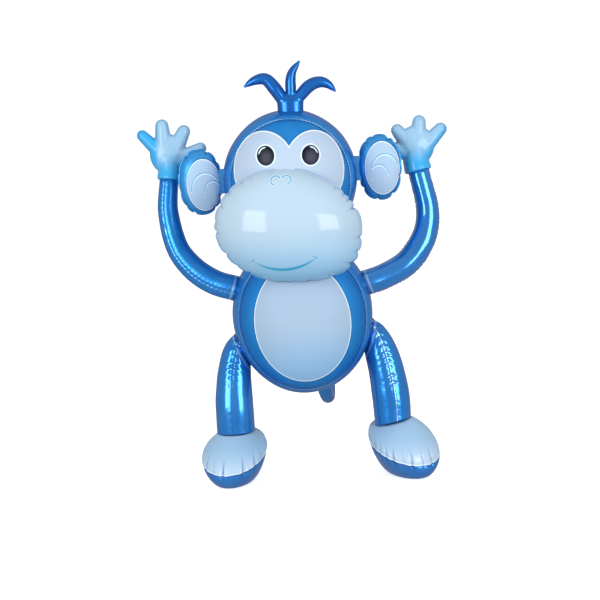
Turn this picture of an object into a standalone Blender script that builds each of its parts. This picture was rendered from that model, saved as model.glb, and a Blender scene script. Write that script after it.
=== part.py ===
"""Inflatable monkey toy, standing on its two feet with both hands up.

Metres, +Z up. The monkey faces -Y, so its own left side is +X.
"""
import math

import bmesh
import bpy
from mathutils import Matrix, Vector

# Driving sizes
HEIGHT = 0.610
CLEARANCE = 0.0003
VALVE_FLANGE_RADIUS = 0.012
VALVE_FLANGE_THICKNESS = 0.0016
VALVE_STEM_RADIUS = 0.0052
VALVE_STEM_LENGTH = 0.0075
VALVE_CAP_RADIUS = 0.0068
VALVE_CAP_THICKNESS = 0.0028

# One millimetre of the figure at its own height of 610 mm: pose and proportions are shares of the height
MM = HEIGHT / 610

# Torso, an egg that leans a little to the monkey's right
TORSO_CENTRE = Vector((1.0, -4.0, 244.0)) * MM
TORSO_HALF_WIDTH = 103.0 * MM
TORSO_HALF_DEPTH = 95.0 * MM
TORSO_UP = 113.0 * MM
TORSO_DOWN = 119.6 * MM
TORSO_LEAN = math.radians(-3.6)

# Head
HEAD_CENTRE = Vector((-7.4, -2.0, 442.6)) * MM
HEAD_RADIUS = 98.0 * MM
HEAD_HALF_HEIGHT = 99.2 * MM

# Muzzle pillow, turned a little to the monkey's right, its top leaning on the head
MUZZLE_OFFSET = Vector((-6.5, -88.0, -58.9)) * MM
MUZZLE_HALF_WIDTH = 104.4 * MM
MUZZLE_HALF_HEIGHT = 82.3 * MM
MUZZLE_FRONT = 60.0 * MM
MUZZLE_BACK = 34.0 * MM
MUZZLE_TURN = math.radians(-5.0)
MUZZLE_PITCH = math.radians(4.0)
# Powers of the rim's four quarters, 2 being a plain oval: from the monkey's left, up and round
MUZZLE_FULLNESS = (1.7, 2.05, 2.0, 3.0)
# Nicks between the lobes of a welded rim: degrees round it from the monkey's left, up and round, and depth
MUZZLE_NICKS = ((16.7, 5.0), (25.9, 3.0), (32.9, 3.0), (43.4, 2.0), (66.0, 1.2), (84.0, 1.2), (101.0, 1.2),
                (118.6, 1.5), (127.1, 2.0), (141.9, 3.0), (156.5, 4.0), (173.4, 2.5), (183.9, 4.0), (207.9, 4.5),
                (222.8, 2.0), (234.9, 3.5), (252.5, 2.5), (264.6, 2.0), (273.9, 2.5), (286.1, 3.0), (302.3, 4.5),
                (320.0, 7.0), (331.8, 4.0), (345.7, 4.0))
NICK_REACH = 3.0 * MM

# Ears
EAR_HALF_WIDTH = 32.7 * MM
EAR_HALF_HEIGHT = 48.2 * MM
EAR_BULGE = 15.0 * MM
EAR_FULLNESS = (2.2, 2.2, 2.2, 2.2)
EAR_NICKS = {
    "right": ((17.3, 3.0), (37.3, 3.0), (66.7, 3.0), (95.0, 1.0), (123.3, 2.5), (159.3, 1.5), (193.3, 2.0),
              (222.0, 2.0), (247.3, 3.0), (306.3, 3.0), (330.3, 3.0)),
    "left": ((5.1, 1.0), (44.0, 3.0), (64.8, 4.0), (106.1, 2.5), (127.8, 1.5), (156.7, 2.0), (200.3, 4.0),
             (219.2, 4.0), (261.1, 3.0), (302.6, 3.5), (343.6, 2.5)),
}
EAR_TAB_HEIGHT = 36.0 * MM
EAR_TAB_THICKNESS = 5.0 * MM
EAR_TAB_LENGTH = {"right": 0.7 * MM, "left": 0.5 * MM}
EAR_RISE = {"right": 0.0 * MM, "left": 9.7 * MM}
EAR_LEAN = {"right": math.radians(-2.0), "left": 0.0}

# Tuft: the curls' paths start in the head, and run from the middle of its top
TUFT_DEPTH = -8.0 * MM
TUFT_SINK = 1.2 * MM
TUFT_STEM_RADIUS = 17.5 * MM
TUFT_BRANCH_RADIUS = 20.0 * MM
TUFT_STEM_FLATNESS = 0.62
TUFT_STEM_RISE = 24.0 * MM
TUFT_CURL_RADIUS = {"middle": 7.2 * MM, "right": 9.2 * MM, "left": 8.6 * MM}
TUFT_BASE_SHARE = 0.82
TUFT_TIP_SHARE = 0.2
TUFT_CURLS = {
    "middle": ((5.0, 6.0), (6.5, 28.0), (7.0, 44.0), (10.5, 56.0), (20.5, 69.2)),
    "right": ((-1.0, 8.0), (-8.5, 20.5), (-17.5, 34.0), (-29.2, 46.3), (-45.0, 44.9), (-59.2, 37.3)),
    "left": ((8.0, 8.0), (20.5, 21.4), (34.0, 34.2), (48.5, 38.8), (60.5, 34.8), (70.2, 25.2)),
}

# Arms: paths from inside the torso to the wrist, and the radius at each point
ARM_PATHS = {
    "right": ((-78.0, -6.0, 278.5), (-97.0, -5.0, 284.7), (-128.3, 0.0, 295.4), (-157.0, 6.0, 316.0),
              (-179.3, 12.0, 348.3), (-189.8, 20.0, 398.5), (-186.8, 27.0, 441.0)),
    "left": ((76.0, -6.0, 278.0), (94.0, -5.0, 283.2), (124.0, 0.0, 291.5), (160.0, 6.0, 310.5),
             (185.8, 12.0, 346.6), (192.3, 20.0, 386.0), (182.9, 27.0, 437.0)),
}
ARM_RADII = {"right": (18.6, 18.6, 18.4, 18.1, 16.5, 15.2, 13.9), "left": (19.0, 19.0, 19.1, 19.5, 18.6, 17.2, 15.8)}
WRIST_END = 5.0 * MM

# Hands, from the wrist: palm, and each digit's base, tip and radius
CUFF_FLARE = 1.16
PALM_ASIDE = {"right": 0.8 * MM, "left": -2.4 * MM}
PALM_RISE = 37.0 * MM
PALM_BACK = 4.0 * MM
PALM_HALF_WIDTH = 26.5 * MM
PALM_HALF_HEIGHT = 29.0 * MM
PALM_HALF_THICKNESS = 14.0 * MM
DIGIT_FLARE = 1.35
DIGITS = {
    "right": {
        "outer": ((-15.5, 0.0, 44.0), (-36.5, 0.0, 66.0), 7.4),
        "second": ((-6.0, 0.0, 50.0), (-7.0, 0.0, 78.8), 9.0),
        "third": ((12.0, 0.0, 46.0), (24.5, 0.0, 69.4), 8.8),
        "inner": ((17.0, 0.0, 30.0), (47.5, 0.0, 43.5), 8.0),
    },
    "left": {
        "outer": ((16.0, 0.0, 38.0), (37.0, 0.0, 59.5), 8.6),
        "second": ((3.0, 0.0, 46.0), (6.0, 0.0, 71.4), 9.0),
        "third": ((-12.0, 0.0, 40.0), (-26.4, 0.0, 60.3), 8.6),
        "inner": ((-17.0, 0.0, 28.0), (-46.0, 0.0, 38.0), 8.0),
    },
}

# Legs: centre and radius at heights from the ankle up into the torso
ANKLE = {"right": Vector((-106.7, -12.0, 70.0)) * MM, "left": Vector((128.0, -12.0, 76.0)) * MM}
ANKLE_LEAN = {"right": math.radians(-1.0), "left": math.radians(-11.0)}
LEG_STATIONS = {
    "right": ((1.2, 0.0, 0.0, 28.2), (0.4, 4.0, 36.0, 28.3), (0.9, 8.0, 64.0, 26.8),
              (3.4, 12.0, 94.0, 24.2), (9.8, 16.0, 122.0, 20.4), (20.5, 20.0, 146.0, 9.0)),
    "left": ((0.0, 0.0, 0.0, 27.4), (-1.6, 5.0, 34.0, 28.0), (-6.6, 10.0, 74.0, 26.4),
             (-14.2, 14.0, 106.0, 24.0), (-21.8, 18.0, 131.0, 17.6), (-28.2, 20.0, 145.0, 9.0)),
}

# Feet: the welded rim is a tilted oval round each foot, with a bulging sole below it
FOOT_HALF_WIDTH = {"right": 47.8 * MM, "left": 50.5 * MM}
FOOT_SPREAD = {"right": 1.9, "left": 1.25}
FOOT_HALF_LENGTH = 60.0 * MM
FOOT_FORWARD = 20.0 * MM
FOOT_ASIDE = 3.5 * MM
FOOT_RIM_HEIGHT = 45.0 * MM
FOOT_TILT = math.radians(21.0)
FOOT_HEADING = {"right": math.radians(-16.0), "left": math.radians(30.0)}
FOOT_SCALLOPS = 12
FOOT_SCALLOP_DEPTH = 1.3 * MM
SOLE_HALF_WIDTH = 20.0 * MM
SOLE_HALF_LENGTH = 34.0 * MM
SOLE_FORWARD = 4.0 * MM
SOLE_ASIDE = {"right": 0.0, "left": 3.0 * MM}
SOLE_TUCK = 0.7

# Tail: a short tube from the lower back that bends and curls up behind
TAIL_PATH = ((14.0, 66.0, 168.0), (22.0, 88.0, 136.0), (31.0, 106.0, 98.0), (35.5, 130.0, 85.0),
             (37.0, 152.0, 98.0), (36.5, 160.0, 130.0), (34.5, 158.0, 152.0))
TAIL_RADIUS = 11.0 * MM

# Valve on the back, as a share of the torso's half height above its middle
VALVE_RISE = 0.15

# Colours, metallic value and roughness of the film
FILM_ROUGHNESS = 0.22
BLUE_PEARL = ((0.014, 0.159, 0.521, 1.0), 0.45)
PALE_BLUE = ((0.479, 0.658, 0.871, 1.0), 0.0)
HAND_BLUE = ((0.296, 0.610, 0.855, 1.0), 0.0)
CLEAR_BLUE = ((0.35, 0.55, 0.75, 1.0), 0.0)


def clear_scene():
    for old in list(bpy.data.objects):
        bpy.data.objects.remove(old, do_unlink=True)


def new_collection(name):
    group = bpy.data.collections.new(name)
    bpy.context.scene.collection.children.link(group)
    return group


def film(name, colour_and_metal):
    """Glossy welded film of one colour."""
    colour, metallic = colour_and_metal
    material = bpy.data.materials.new(name)
    material.use_nodes = True
    shader = material.node_tree.nodes["Principled BSDF"]
    shader.inputs["Base Color"].default_value = colour
    shader.inputs["Metallic"].default_value = metallic
    shader.inputs["Roughness"].default_value = FILM_ROUGHNESS
    material.diffuse_color = colour
    return material


def add_object(name, bm, group, place=None):
    """Object from a finished bmesh, turned and moved by a matrix."""
    bmesh.ops.recalc_face_normals(bm, faces=bm.faces)
    mesh = bpy.data.meshes.new(name)
    bm.to_mesh(mesh)
    bm.free()
    piece = bpy.data.objects.new(name, mesh)
    piece.matrix_world = place or Matrix()
    group.objects.link(piece)
    return piece


def boolean(piece, other, operation):
    change = piece.modifiers.new(operation.lower() + "_" + other.name, "BOOLEAN")
    change.operation = operation
    change.object = other
    change.solver = "EXACT"


def placed(location, turn=0.0, pitch=0.0, lean=0.0):
    """Matrix for a piece: leaned sideways, pitched, turned about the vertical, then moved."""
    turning = Matrix.Rotation(turn, 4, "Z") @ Matrix.Rotation(pitch, 4, "X") @ Matrix.Rotation(lean, 4, "Y")
    return Matrix.Translation(location) @ turning


def egg(half_width, half_depth, up, down, grow=0.0, around=28):
    """Sphere stretched to its own half sizes, with unlike heights above and below its widest ring."""
    bm = bmesh.new()
    bmesh.ops.create_uvsphere(bm, u_segments=around, v_segments=around // 2 + 1, radius=1.0)
    for vert in bm.verts:
        height = up if vert.co.z > 0.0 else down
        vert.co.x *= half_width + grow
        vert.co.y *= half_depth + grow
        vert.co.z *= height + grow
    return bm


def loft(rings):
    """Closed body through rings of equal count, with a flat face on each end."""
    bm = bmesh.new()
    loops = [[bm.verts.new(point) for point in ring] for ring in rings]
    for lower, upper in zip(loops, loops[1:]):
        for side in range(len(lower)):
            following = (side + 1) % len(lower)
            bm.faces.new((lower[side], lower[following], upper[following], upper[side]))
    bm.faces.new(loops[0][::-1])
    bm.faces.new(loops[-1])
    return bm


def oval(half_width, half_height, count, scallops=0, depth=0.0):
    """Points of an oval in x and z, its edge drawn in between the scallops."""
    points = []
    for step in range(count):
        angle = math.tau * step / count
        nick = depth * (1.0 - abs(math.sin(scallops * angle / 2.0))) ** 2
        point = Vector((half_width * math.cos(angle), 0.0, half_height * math.sin(angle)))
        points.append(point - point.normalized() * nick)
    return points


def rim_point(angle, half_width, half_height, fullness, nicks, share):
    """Place on a lobed rim: an oval with its own fullness in each quarter, drawn in at the nicks."""
    across = math.cos(math.radians(angle))
    upward = math.sin(math.radians(angle))
    power = fullness[int(angle % 360.0 // 90.0)]
    reach = (abs(across) ** power + abs(upward) ** power) ** (-1.0 / power)
    point = Vector((half_width * across * reach, 0.0, half_height * upward * reach))
    drop = 0.0
    for place, depth in nicks:
        apart = math.radians(abs((angle - place + 180.0) % 360.0 - 180.0)) * point.length
        drop = max(drop, depth * MM * math.exp(-apart / NICK_REACH))
    return point - point.normalized() * drop * share


def pillow(half_width, half_height, front, back, fullness, nicks):
    """Two panels welded round a lobed rim and blown up; the front bulges towards -Y."""
    angles = []
    for (angle, depth), (following, next_depth) in zip(nicks, nicks[1:] + nicks[:1]):
        gap = (following - angle) % 360.0
        angles += [angle, angle + gap / 3, angle + gap * 2 / 3]
    rings = []
    for level in (-76.0, -50.0, -25.0, -9.0, 0.0, 18.0, 65.0):
        tilt = math.radians(level)
        shrink = math.cos(tilt)
        lift = Vector((0.0, (front if level < 0.0 else back) * math.sin(tilt), 0.0))
        rim = [rim_point(angle, half_width, half_height, fullness, nicks, shrink ** 6) for angle in angles]
        rings.append([point * shrink + lift for point in rim])
    return loft(rings)


def smooth_path(points, steps):
    """Points of a smooth curve through the given ones, with the share of the way that each is at."""
    ends = [points[0] * 2.0 - points[1]] + list(points) + [points[-1] * 2.0 - points[-2]]
    spans = len(points) - 1
    result = []
    for step in range(spans * steps + 1):
        span = min(step // steps, spans - 1)
        t = step / steps - span
        a, b, c, d = ends[span:span + 4]
        middle = 2.0 * b + (c - a) * t
        bend = (2.0 * a - 5.0 * b + 4.0 * c - d) * t ** 2 + (3.0 * b - a - 3.0 * c + d) * t ** 3
        result.append(((middle + bend) * 0.5, step / (spans * steps)))
    return result


def round_end(points, radius):
    """Points and radii that close a tube with a round end past its last point."""
    direction = (points[-1] - points[-2]).normalized()
    turns = [math.radians(angle) for angle in (35.0, 62.0, 84.0)]
    return [(points[-1] + direction * radius * math.sin(turn), radius * math.cos(turn)) for turn in turns]


def tube(name, stations, group, resolution=4):
    """Mesh of a round tube through points with radii, its caps welded on."""
    curve = bpy.data.curves.new(name, "CURVE")
    curve.dimensions = "3D"
    curve.bevel_depth = 1.0
    curve.bevel_resolution = resolution
    curve.use_fill_caps = True
    spline = curve.splines.new("POLY")
    spline.points.add(len(stations) - 1)
    for point, (position, radius) in zip(spline.points, stations):
        point.co = (*position, 1.0)
        point.radius = radius
    drawn = bpy.data.objects.new(name + "_curve", curve)
    group.objects.link(drawn)
    mesh = bpy.data.meshes.new_from_object(drawn.evaluated_get(bpy.context.evaluated_depsgraph_get()))
    bm = bmesh.new()
    bm.from_mesh(mesh)
    bmesh.ops.remove_doubles(bm, verts=bm.verts, dist=0.00002)
    place = drawn.matrix_world.copy()
    bpy.data.objects.remove(drawn)
    return add_object(name, bm, group, place)


def build_torso(parts, cutters):
    place = placed(TORSO_CENTRE, lean=TORSO_LEAN)
    shape = (TORSO_HALF_WIDTH, TORSO_HALF_DEPTH, TORSO_UP, TORSO_DOWN)
    torso = add_object("torso", egg(*shape), parts, place)
    clearance = add_object("torso_clearance", egg(*shape, grow=CLEARANCE), cutters, place)
    return torso, clearance


def build_head(parts, cutters):
    place = placed(HEAD_CENTRE)
    shape = (HEAD_RADIUS, HEAD_RADIUS, HEAD_HALF_HEIGHT, HEAD_HALF_HEIGHT)
    head = add_object("head", egg(*shape), parts, place)
    clearance = add_object("head_clearance", egg(*shape, grow=CLEARANCE), cutters, place)
    return head, clearance


def build_muzzle(parts, head_clearance, torso_clearance):
    shape = pillow(MUZZLE_HALF_WIDTH, MUZZLE_HALF_HEIGHT, MUZZLE_FRONT, MUZZLE_BACK, MUZZLE_FULLNESS,
                   MUZZLE_NICKS)
    muzzle = add_object("muzzle", shape, parts, placed(HEAD_CENTRE + MUZZLE_OFFSET, MUZZLE_TURN, MUZZLE_PITCH))
    boolean(muzzle, head_clearance, "DIFFERENCE")
    boolean(muzzle, torso_clearance, "DIFFERENCE")
    return muzzle


def build_ear(side, outward, parts, cutters, head_clearance):
    """Pillow disc with a flat tab that runs into the side of the head."""
    reach = HEAD_RADIUS + EAR_TAB_LENGTH[side] + EAR_HALF_WIDTH
    middle = HEAD_CENTRE + Vector((outward * reach, 0.0, EAR_RISE[side]))
    shape = pillow(EAR_HALF_WIDTH, EAR_HALF_HEIGHT, EAR_BULGE, EAR_BULGE, EAR_FULLNESS, EAR_NICKS[side])
    ear = add_object("ear_" + side, shape, parts, placed(middle, lean=EAR_LEAN[side]))
    bm = bmesh.new()
    bmesh.ops.create_cube(bm, size=1.0)
    tab_length = EAR_TAB_LENGTH[side] + 0.5 * EAR_HALF_WIDTH + 0.2 * HEAD_RADIUS
    bmesh.ops.scale(bm, vec=(tab_length, EAR_TAB_THICKNESS, EAR_TAB_HEIGHT), verts=bm.verts)
    start = HEAD_CENTRE.x + outward * (0.8 * HEAD_RADIUS + 0.5 * tab_length)
    tab_place = placed(Vector((start, middle.y, middle.z)))
    tab = add_object("ear_tab_" + side, bm, cutters, tab_place)
    boolean(ear, tab, "UNION")
    boolean(ear, head_clearance, "DIFFERENCE")
    return ear


def build_tuft(parts, cutters, head_clearance):
    """Three tapered curls that grow out of one stem."""
    top = HEAD_CENTRE + Vector((0.0, TUFT_DEPTH, HEAD_HALF_HEIGHT - TUFT_SINK))
    pieces = []
    for curl, path in TUFT_CURLS.items():
        points = [top + Vector((across, 0.0, up)) * MM for across, up in path]
        stations = []
        for position, share in smooth_path(points, 2):
            taper = min(1.0, TUFT_BASE_SHARE + 0.5 * share) * max(0.0, 1.0 - share ** 3) ** 0.7
            stations.append((position, TUFT_CURL_RADIUS[curl] * max(taper, TUFT_TIP_SHARE)))
        group = parts if curl == "middle" else cutters
        name = "tuft" if curl == "middle" else "tuft_curl_" + curl
        pieces.append(tube(name, stations, group, 2))
    tuft = pieces[0]
    bm = bmesh.new()
    stem_height = 1.6 * TUFT_STEM_RISE
    bmesh.ops.create_cone(bm, cap_ends=True, segments=18, radius1=TUFT_STEM_RADIUS,
                          radius2=TUFT_BRANCH_RADIUS, depth=stem_height)
    bmesh.ops.scale(bm, vec=(1.0, TUFT_STEM_FLATNESS, 1.0), verts=bm.verts)
    middle = Vector((TUFT_CURLS["middle"][0][0] * MM, 0.0, TUFT_STEM_RISE - 0.5 * stem_height))
    stem = add_object("tuft_stem", bm, cutters, placed(top + middle))
    for other in pieces[1:] + [stem]:
        boolean(tuft, other, "UNION")
    boolean(tuft, head_clearance, "DIFFERENCE")
    return tuft


def arm_stations(side):
    """Tube from inside the torso to the wrist, which ends in a short straight stretch."""
    points = smooth_path([Vector(point) * MM for point in ARM_PATHS[side]], 3)
    radii = smooth_path([Vector((radius * MM, 0.0, 0.0)) for radius in ARM_RADII[side]], 3)
    stations = [(point, radius.x) for (point, share), (radius, same_share) in zip(points, radii)]
    direction = (stations[-1][0] - stations[-2][0]).normalized()
    stations.append((stations[-1][0] + direction * WRIST_END, stations[-1][1]))
    return stations, direction


def build_arm(side, parts, torso_clearance):
    stations, direction = arm_stations(side)
    arm = tube("arm_" + side, stations, parts)
    boolean(arm, torso_clearance, "DIFFERENCE")
    return arm


def build_hand(side, parts, cutters):
    """Palm with a wrist and four round-tipped digits."""
    stations, direction = arm_stations(side)
    start = stations[-1][0] + direction * CLEARANCE
    radius = stations[-1][1]
    middle = start + Vector((PALM_ASIDE[side], PALM_BACK, PALM_RISE))
    cuff = CUFF_FLARE * radius
    wrist_path = [(start, 0.5 * (radius + cuff)), (start + direction * 2.0 * MM, cuff),
                  (start + direction * 15.0 * MM, cuff), (middle, 0.8 * cuff)]
    hand = tube("hand_" + side, wrist_path, parts)
    palm = add_object("palm_" + side, egg(PALM_HALF_WIDTH, PALM_HALF_THICKNESS, PALM_HALF_HEIGHT,
                                          PALM_HALF_HEIGHT, around=16), cutters, placed(middle))
    boolean(hand, palm, "UNION")
    for digit, (base, tip, width) in DIGITS[side].items():
        thickness = width * MM
        root = Vector((middle.x, middle.y, start.z)) + Vector(base) * MM
        end = Vector((middle.x, middle.y, start.z)) + Vector(tip) * MM
        half_way = root.lerp(end, 0.5)
        finger = [(root, DIGIT_FLARE * thickness), (half_way, 0.5 * (1.0 + DIGIT_FLARE) * thickness),
                  (end, thickness)]
        finger += round_end([root, end], thickness)
        boolean(hand, tube("digit_" + side + "_" + digit, finger, cutters, 2), "UNION")
    return hand


def build_leg(side, parts, torso_clearance):
    """Level rings from the ankle up into the torso."""
    stations = [Vector(station) for station in LEG_STATIONS[side]]
    centres = smooth_path([station.to_3d() for station in stations], 3)
    radii = smooth_path([Vector((station[3], 0.0, 0.0)) for station in stations], 3)
    base = ANKLE[side] + Vector((0.0, 0.0, CLEARANCE))
    rings = []
    for (centre, share), (radius, same_share) in zip(centres, radii):
        middle = base + centre * MM
        leaned = Matrix.Rotation(ANKLE_LEAN[side] * max(0.0, 1.0 - 3.0 * share), 3, "Y")
        ring = oval(radius.x * MM, radius.x * MM, 18)
        rings.append([middle + leaned @ Vector((point.x, point.z, 0.0)) for point in ring])
    leg = add_object("leg_" + side, loft(rings), parts)
    boolean(leg, torso_clearance, "DIFFERENCE")
    return leg


def foot_ring(half_width, half_length, centre, tilt, leaned, nick=0.0, count=36):
    """Oval round the foot, level or tilted toes down, and leaned sideways near the ankle."""
    ring = oval(half_width, half_length, count, FOOT_SCALLOPS, nick)
    turned = leaned @ Matrix.Rotation(tilt, 3, "X")
    return [centre + turned @ Vector((point.x, point.z, 0.0)) for point in ring]


def build_foot(side, ankle_radius, parts):
    """Upper from the ankle out to the tilted rim, then the sole in to its flat underside."""
    ankle = ANKLE[side]
    heading = Matrix.Rotation(FOOT_HEADING[side], 3, "Z")
    aside = heading.inverted() @ Vector((FOOT_ASIDE, 0.0, 0.0))
    rim_centre = aside + Vector((0.0, -FOOT_FORWARD, FOOT_RIM_HEIGHT - ankle.z))
    sole_aside = heading.inverted() @ Vector((SOLE_ASIDE[side], 0.0, 0.0))
    sole_centre = aside + sole_aside + Vector((0.0, -FOOT_FORWARD - SOLE_FORWARD, -ankle.z))
    rim_width = FOOT_HALF_WIDTH[side]
    level = Matrix.Identity(3)
    rings = []
    for step in range(5):
        share = step / 5
        spread = math.sin(share * math.pi / 2) ** FOOT_SPREAD[side]
        fall = 1.0 - math.cos(share * math.pi / 2)
        centre = Vector((rim_centre.x * spread, rim_centre.y * spread, rim_centre.z * fall ** 0.8))
        leaned = heading.inverted() @ Matrix.Rotation(ANKLE_LEAN[side] * (1.0 - spread), 3, "Y") @ heading
        rings.append(foot_ring(ankle_radius + (rim_width - ankle_radius) * spread,
                               ankle_radius + (FOOT_HALF_LENGTH - ankle_radius) * spread,
                               centre, FOOT_TILT * spread, leaned))
    rings.append(foot_ring(rim_width, FOOT_HALF_LENGTH, rim_centre, FOOT_TILT, level, FOOT_SCALLOP_DEPTH))
    for step in range(1, 5):
        share = step / 4
        fall = math.sin(share * math.pi / 2)
        narrow = (1.0 - math.cos(share * math.pi / 2)) ** SOLE_TUCK
        centre = rim_centre.lerp(sole_centre, fall)
        rings.append(foot_ring(rim_width + (SOLE_HALF_WIDTH - rim_width) * narrow,
                               FOOT_HALF_LENGTH + (SOLE_HALF_LENGTH - FOOT_HALF_LENGTH) * narrow,
                               centre, FOOT_TILT * (1.0 - fall), level))
    return add_object("foot_" + side, loft(rings), parts, placed(ankle, turn=FOOT_HEADING[side]))


def build_tail(parts, torso_clearance):
    points = [Vector(point) * MM for point in TAIL_PATH]
    path = smooth_path(points, 3)
    stations = [(position, TAIL_RADIUS) for position, share in path]
    stations += round_end([position for position, share in path], TAIL_RADIUS)
    tail = tube("tail", stations, parts, 3)
    boolean(tail, torso_clearance, "DIFFERENCE")
    return tail


def build_valve(parts, torso_clearance):
    """Turned valve: flange on the film, short stem and a push-in cap."""
    rise = VALVE_RISE * TORSO_UP
    depth = TORSO_HALF_DEPTH * math.sqrt(1.0 - VALVE_RISE ** 2)
    sink = VALVE_FLANGE_RADIUS ** 2 / TORSO_HALF_DEPTH
    outline = [(0.0, -sink), (VALVE_FLANGE_RADIUS, -sink),
               (VALVE_FLANGE_RADIUS, VALVE_FLANGE_THICKNESS),
               (VALVE_STEM_RADIUS, VALVE_FLANGE_THICKNESS),
               (VALVE_STEM_RADIUS, VALVE_FLANGE_THICKNESS + VALVE_STEM_LENGTH),
               (VALVE_CAP_RADIUS, VALVE_FLANGE_THICKNESS + VALVE_STEM_LENGTH),
               (VALVE_CAP_RADIUS, VALVE_FLANGE_THICKNESS + VALVE_STEM_LENGTH + VALVE_CAP_THICKNESS),
               (0.0, VALVE_FLANGE_THICKNESS + VALVE_STEM_LENGTH + VALVE_CAP_THICKNESS)]
    bm = bmesh.new()
    verts = [bm.verts.new((radius, 0.0, level)) for radius, level in outline]
    for start, end in zip(verts, verts[1:]):
        bm.edges.new((start, end))
    bmesh.ops.spin(bm, geom=bm.verts[:] + bm.edges[:], cent=(0, 0, 0), axis=(0, 0, 1),
                   angle=math.tau, steps=14, use_merge=True)
    bmesh.ops.remove_doubles(bm, verts=bm.verts, dist=0.00002)
    place = placed(TORSO_CENTRE, lean=TORSO_LEAN) @ placed(Vector((0.0, depth, rise)), pitch=-math.pi / 2)
    valve = add_object("valve", bm, parts, place)
    boolean(valve, torso_clearance, "DIFFERENCE")
    return valve


def centre_over_origin(parts, cutters):
    """Hangs every piece on one empty, and moves it so that the box's bottom centre is the origin."""
    root = bpy.data.objects.new("inflatable_monkey_root", None)
    bpy.context.scene.collection.objects.link(root)
    bpy.context.view_layer.update()
    graph = bpy.context.evaluated_depsgraph_get()
    corners = [piece.matrix_world @ vert.co for piece in parts.objects
               for vert in piece.evaluated_get(graph).data.vertices]
    lows = [min(corner[axis] for corner in corners) for axis in range(3)]
    highs = [max(corner[axis] for corner in corners) for axis in range(3)]
    for piece in list(parts.objects) + list(cutters.objects):
        piece.parent = root
    root.location = (-(lows[0] + highs[0]) / 2, -(lows[1] + highs[1]) / 2, -lows[2])


def main():
    clear_scene()
    parts = new_collection("inflatable_monkey")
    cutters = new_collection("cutters")
    torso, torso_clearance = build_torso(parts, cutters)
    head, head_clearance = build_head(parts, cutters)
    boolean(torso, head_clearance, "DIFFERENCE")
    colours = {torso: BLUE_PEARL, head: BLUE_PEARL}
    colours[build_muzzle(parts, head_clearance, torso_clearance)] = PALE_BLUE
    colours[build_tuft(parts, cutters, head_clearance)] = BLUE_PEARL
    for side, outward in (("right", -1.0), ("left", 1.0)):
        colours[build_ear(side, outward, parts, cutters, head_clearance)] = BLUE_PEARL
        colours[build_arm(side, parts, torso_clearance)] = BLUE_PEARL
        colours[build_hand(side, parts, cutters)] = HAND_BLUE
        colours[build_leg(side, parts, torso_clearance)] = BLUE_PEARL
        colours[build_foot(side, LEG_STATIONS[side][0][3] * MM, parts)] = PALE_BLUE
    colours[build_tail(parts, torso_clearance)] = BLUE_PEARL
    colours[build_valve(parts, torso_clearance)] = CLEAR_BLUE
    for piece, colour in colours.items():
        piece.data.materials.append(film(piece.name + "_film", colour))
    for cutter in cutters.objects:
        cutter.hide_render = True
        cutter.display_type = "WIRE"
    centre_over_origin(parts, cutters)


main()
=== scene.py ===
"""Dresses the inflatable monkey: welded film chambers, their seams and puckers, prints and gloss."""
import math

import bmesh
import bpy
from bpy.props import FloatProperty, FloatVectorProperty, IntProperty
from mathutils import Matrix, Vector, noise


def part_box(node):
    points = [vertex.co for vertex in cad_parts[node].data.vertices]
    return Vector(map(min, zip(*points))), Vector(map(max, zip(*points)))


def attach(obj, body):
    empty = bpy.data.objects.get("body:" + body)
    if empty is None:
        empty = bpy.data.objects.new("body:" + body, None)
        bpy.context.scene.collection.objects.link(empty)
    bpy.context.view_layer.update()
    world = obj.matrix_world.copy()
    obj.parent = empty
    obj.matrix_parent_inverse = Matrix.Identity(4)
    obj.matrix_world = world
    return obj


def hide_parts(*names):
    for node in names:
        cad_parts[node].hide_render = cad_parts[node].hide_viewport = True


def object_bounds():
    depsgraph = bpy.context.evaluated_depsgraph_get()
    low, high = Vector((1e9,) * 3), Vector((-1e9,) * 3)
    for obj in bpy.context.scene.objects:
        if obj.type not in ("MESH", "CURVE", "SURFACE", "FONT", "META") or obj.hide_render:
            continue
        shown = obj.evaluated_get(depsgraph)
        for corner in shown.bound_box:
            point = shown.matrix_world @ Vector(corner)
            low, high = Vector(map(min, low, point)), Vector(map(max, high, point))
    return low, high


bl_info = {
    "name": "Inflatable Monkey",
    "version": (1, 0, 0),
    "blender": (4, 5, 0),
    "location": "View3D > Sidebar > Monkey",
    "description": "Builds the film chambers, prints and studio of an inflatable monkey",
    "category": "Add Mesh",
}

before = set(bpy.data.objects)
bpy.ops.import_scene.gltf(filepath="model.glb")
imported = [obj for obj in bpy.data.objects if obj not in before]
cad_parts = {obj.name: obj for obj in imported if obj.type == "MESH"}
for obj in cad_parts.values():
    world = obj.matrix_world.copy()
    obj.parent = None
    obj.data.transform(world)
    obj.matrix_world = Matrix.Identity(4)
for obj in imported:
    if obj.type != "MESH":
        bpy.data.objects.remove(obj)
CAD_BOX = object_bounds()

# One millimetre of the figure at its own height of 610 mm
MM = (CAD_BOX[1].z - CAD_BOX[0].z) / 610.0
SIDES = {"right": -1.0, "left": 1.0}


def node_middle(node):
    low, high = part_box(node)
    return (low + high) / 2


def node_half(node):
    low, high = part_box(node)
    return (high - low) / 2


# The head's box is exact in the frame, so every other place is counted from its middle
HEAD_CENTRE = node_middle("head")
HEAD_HALF = node_half("head")
HEAD_POSE = Vector((-7.4, -2.0, 442.6))


def figure(x, y, z):
    """A place of the figure's pose, in its own millimetres, as a place in the frame."""
    return HEAD_CENTRE + (Vector((x, y, z)) - HEAD_POSE) * MM


TORSO_CENTRE = figure(1.0, -4.0, 244.0)
TORSO_HALF = Vector((103.0, 95.0, 113.0)) * MM
TORSO_DOWN = 119.6 * MM
TORSO_LEAN = math.radians(-3.6)
# Angles in front of the widest ring at which the back film is welded to the printed front, and their creases
TORSO_WELD = math.radians(-25.0)
HEAD_WELD = math.radians(-26.5)
TORSO_PUCKERS = 56
HEAD_PUCKERS = 60

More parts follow.
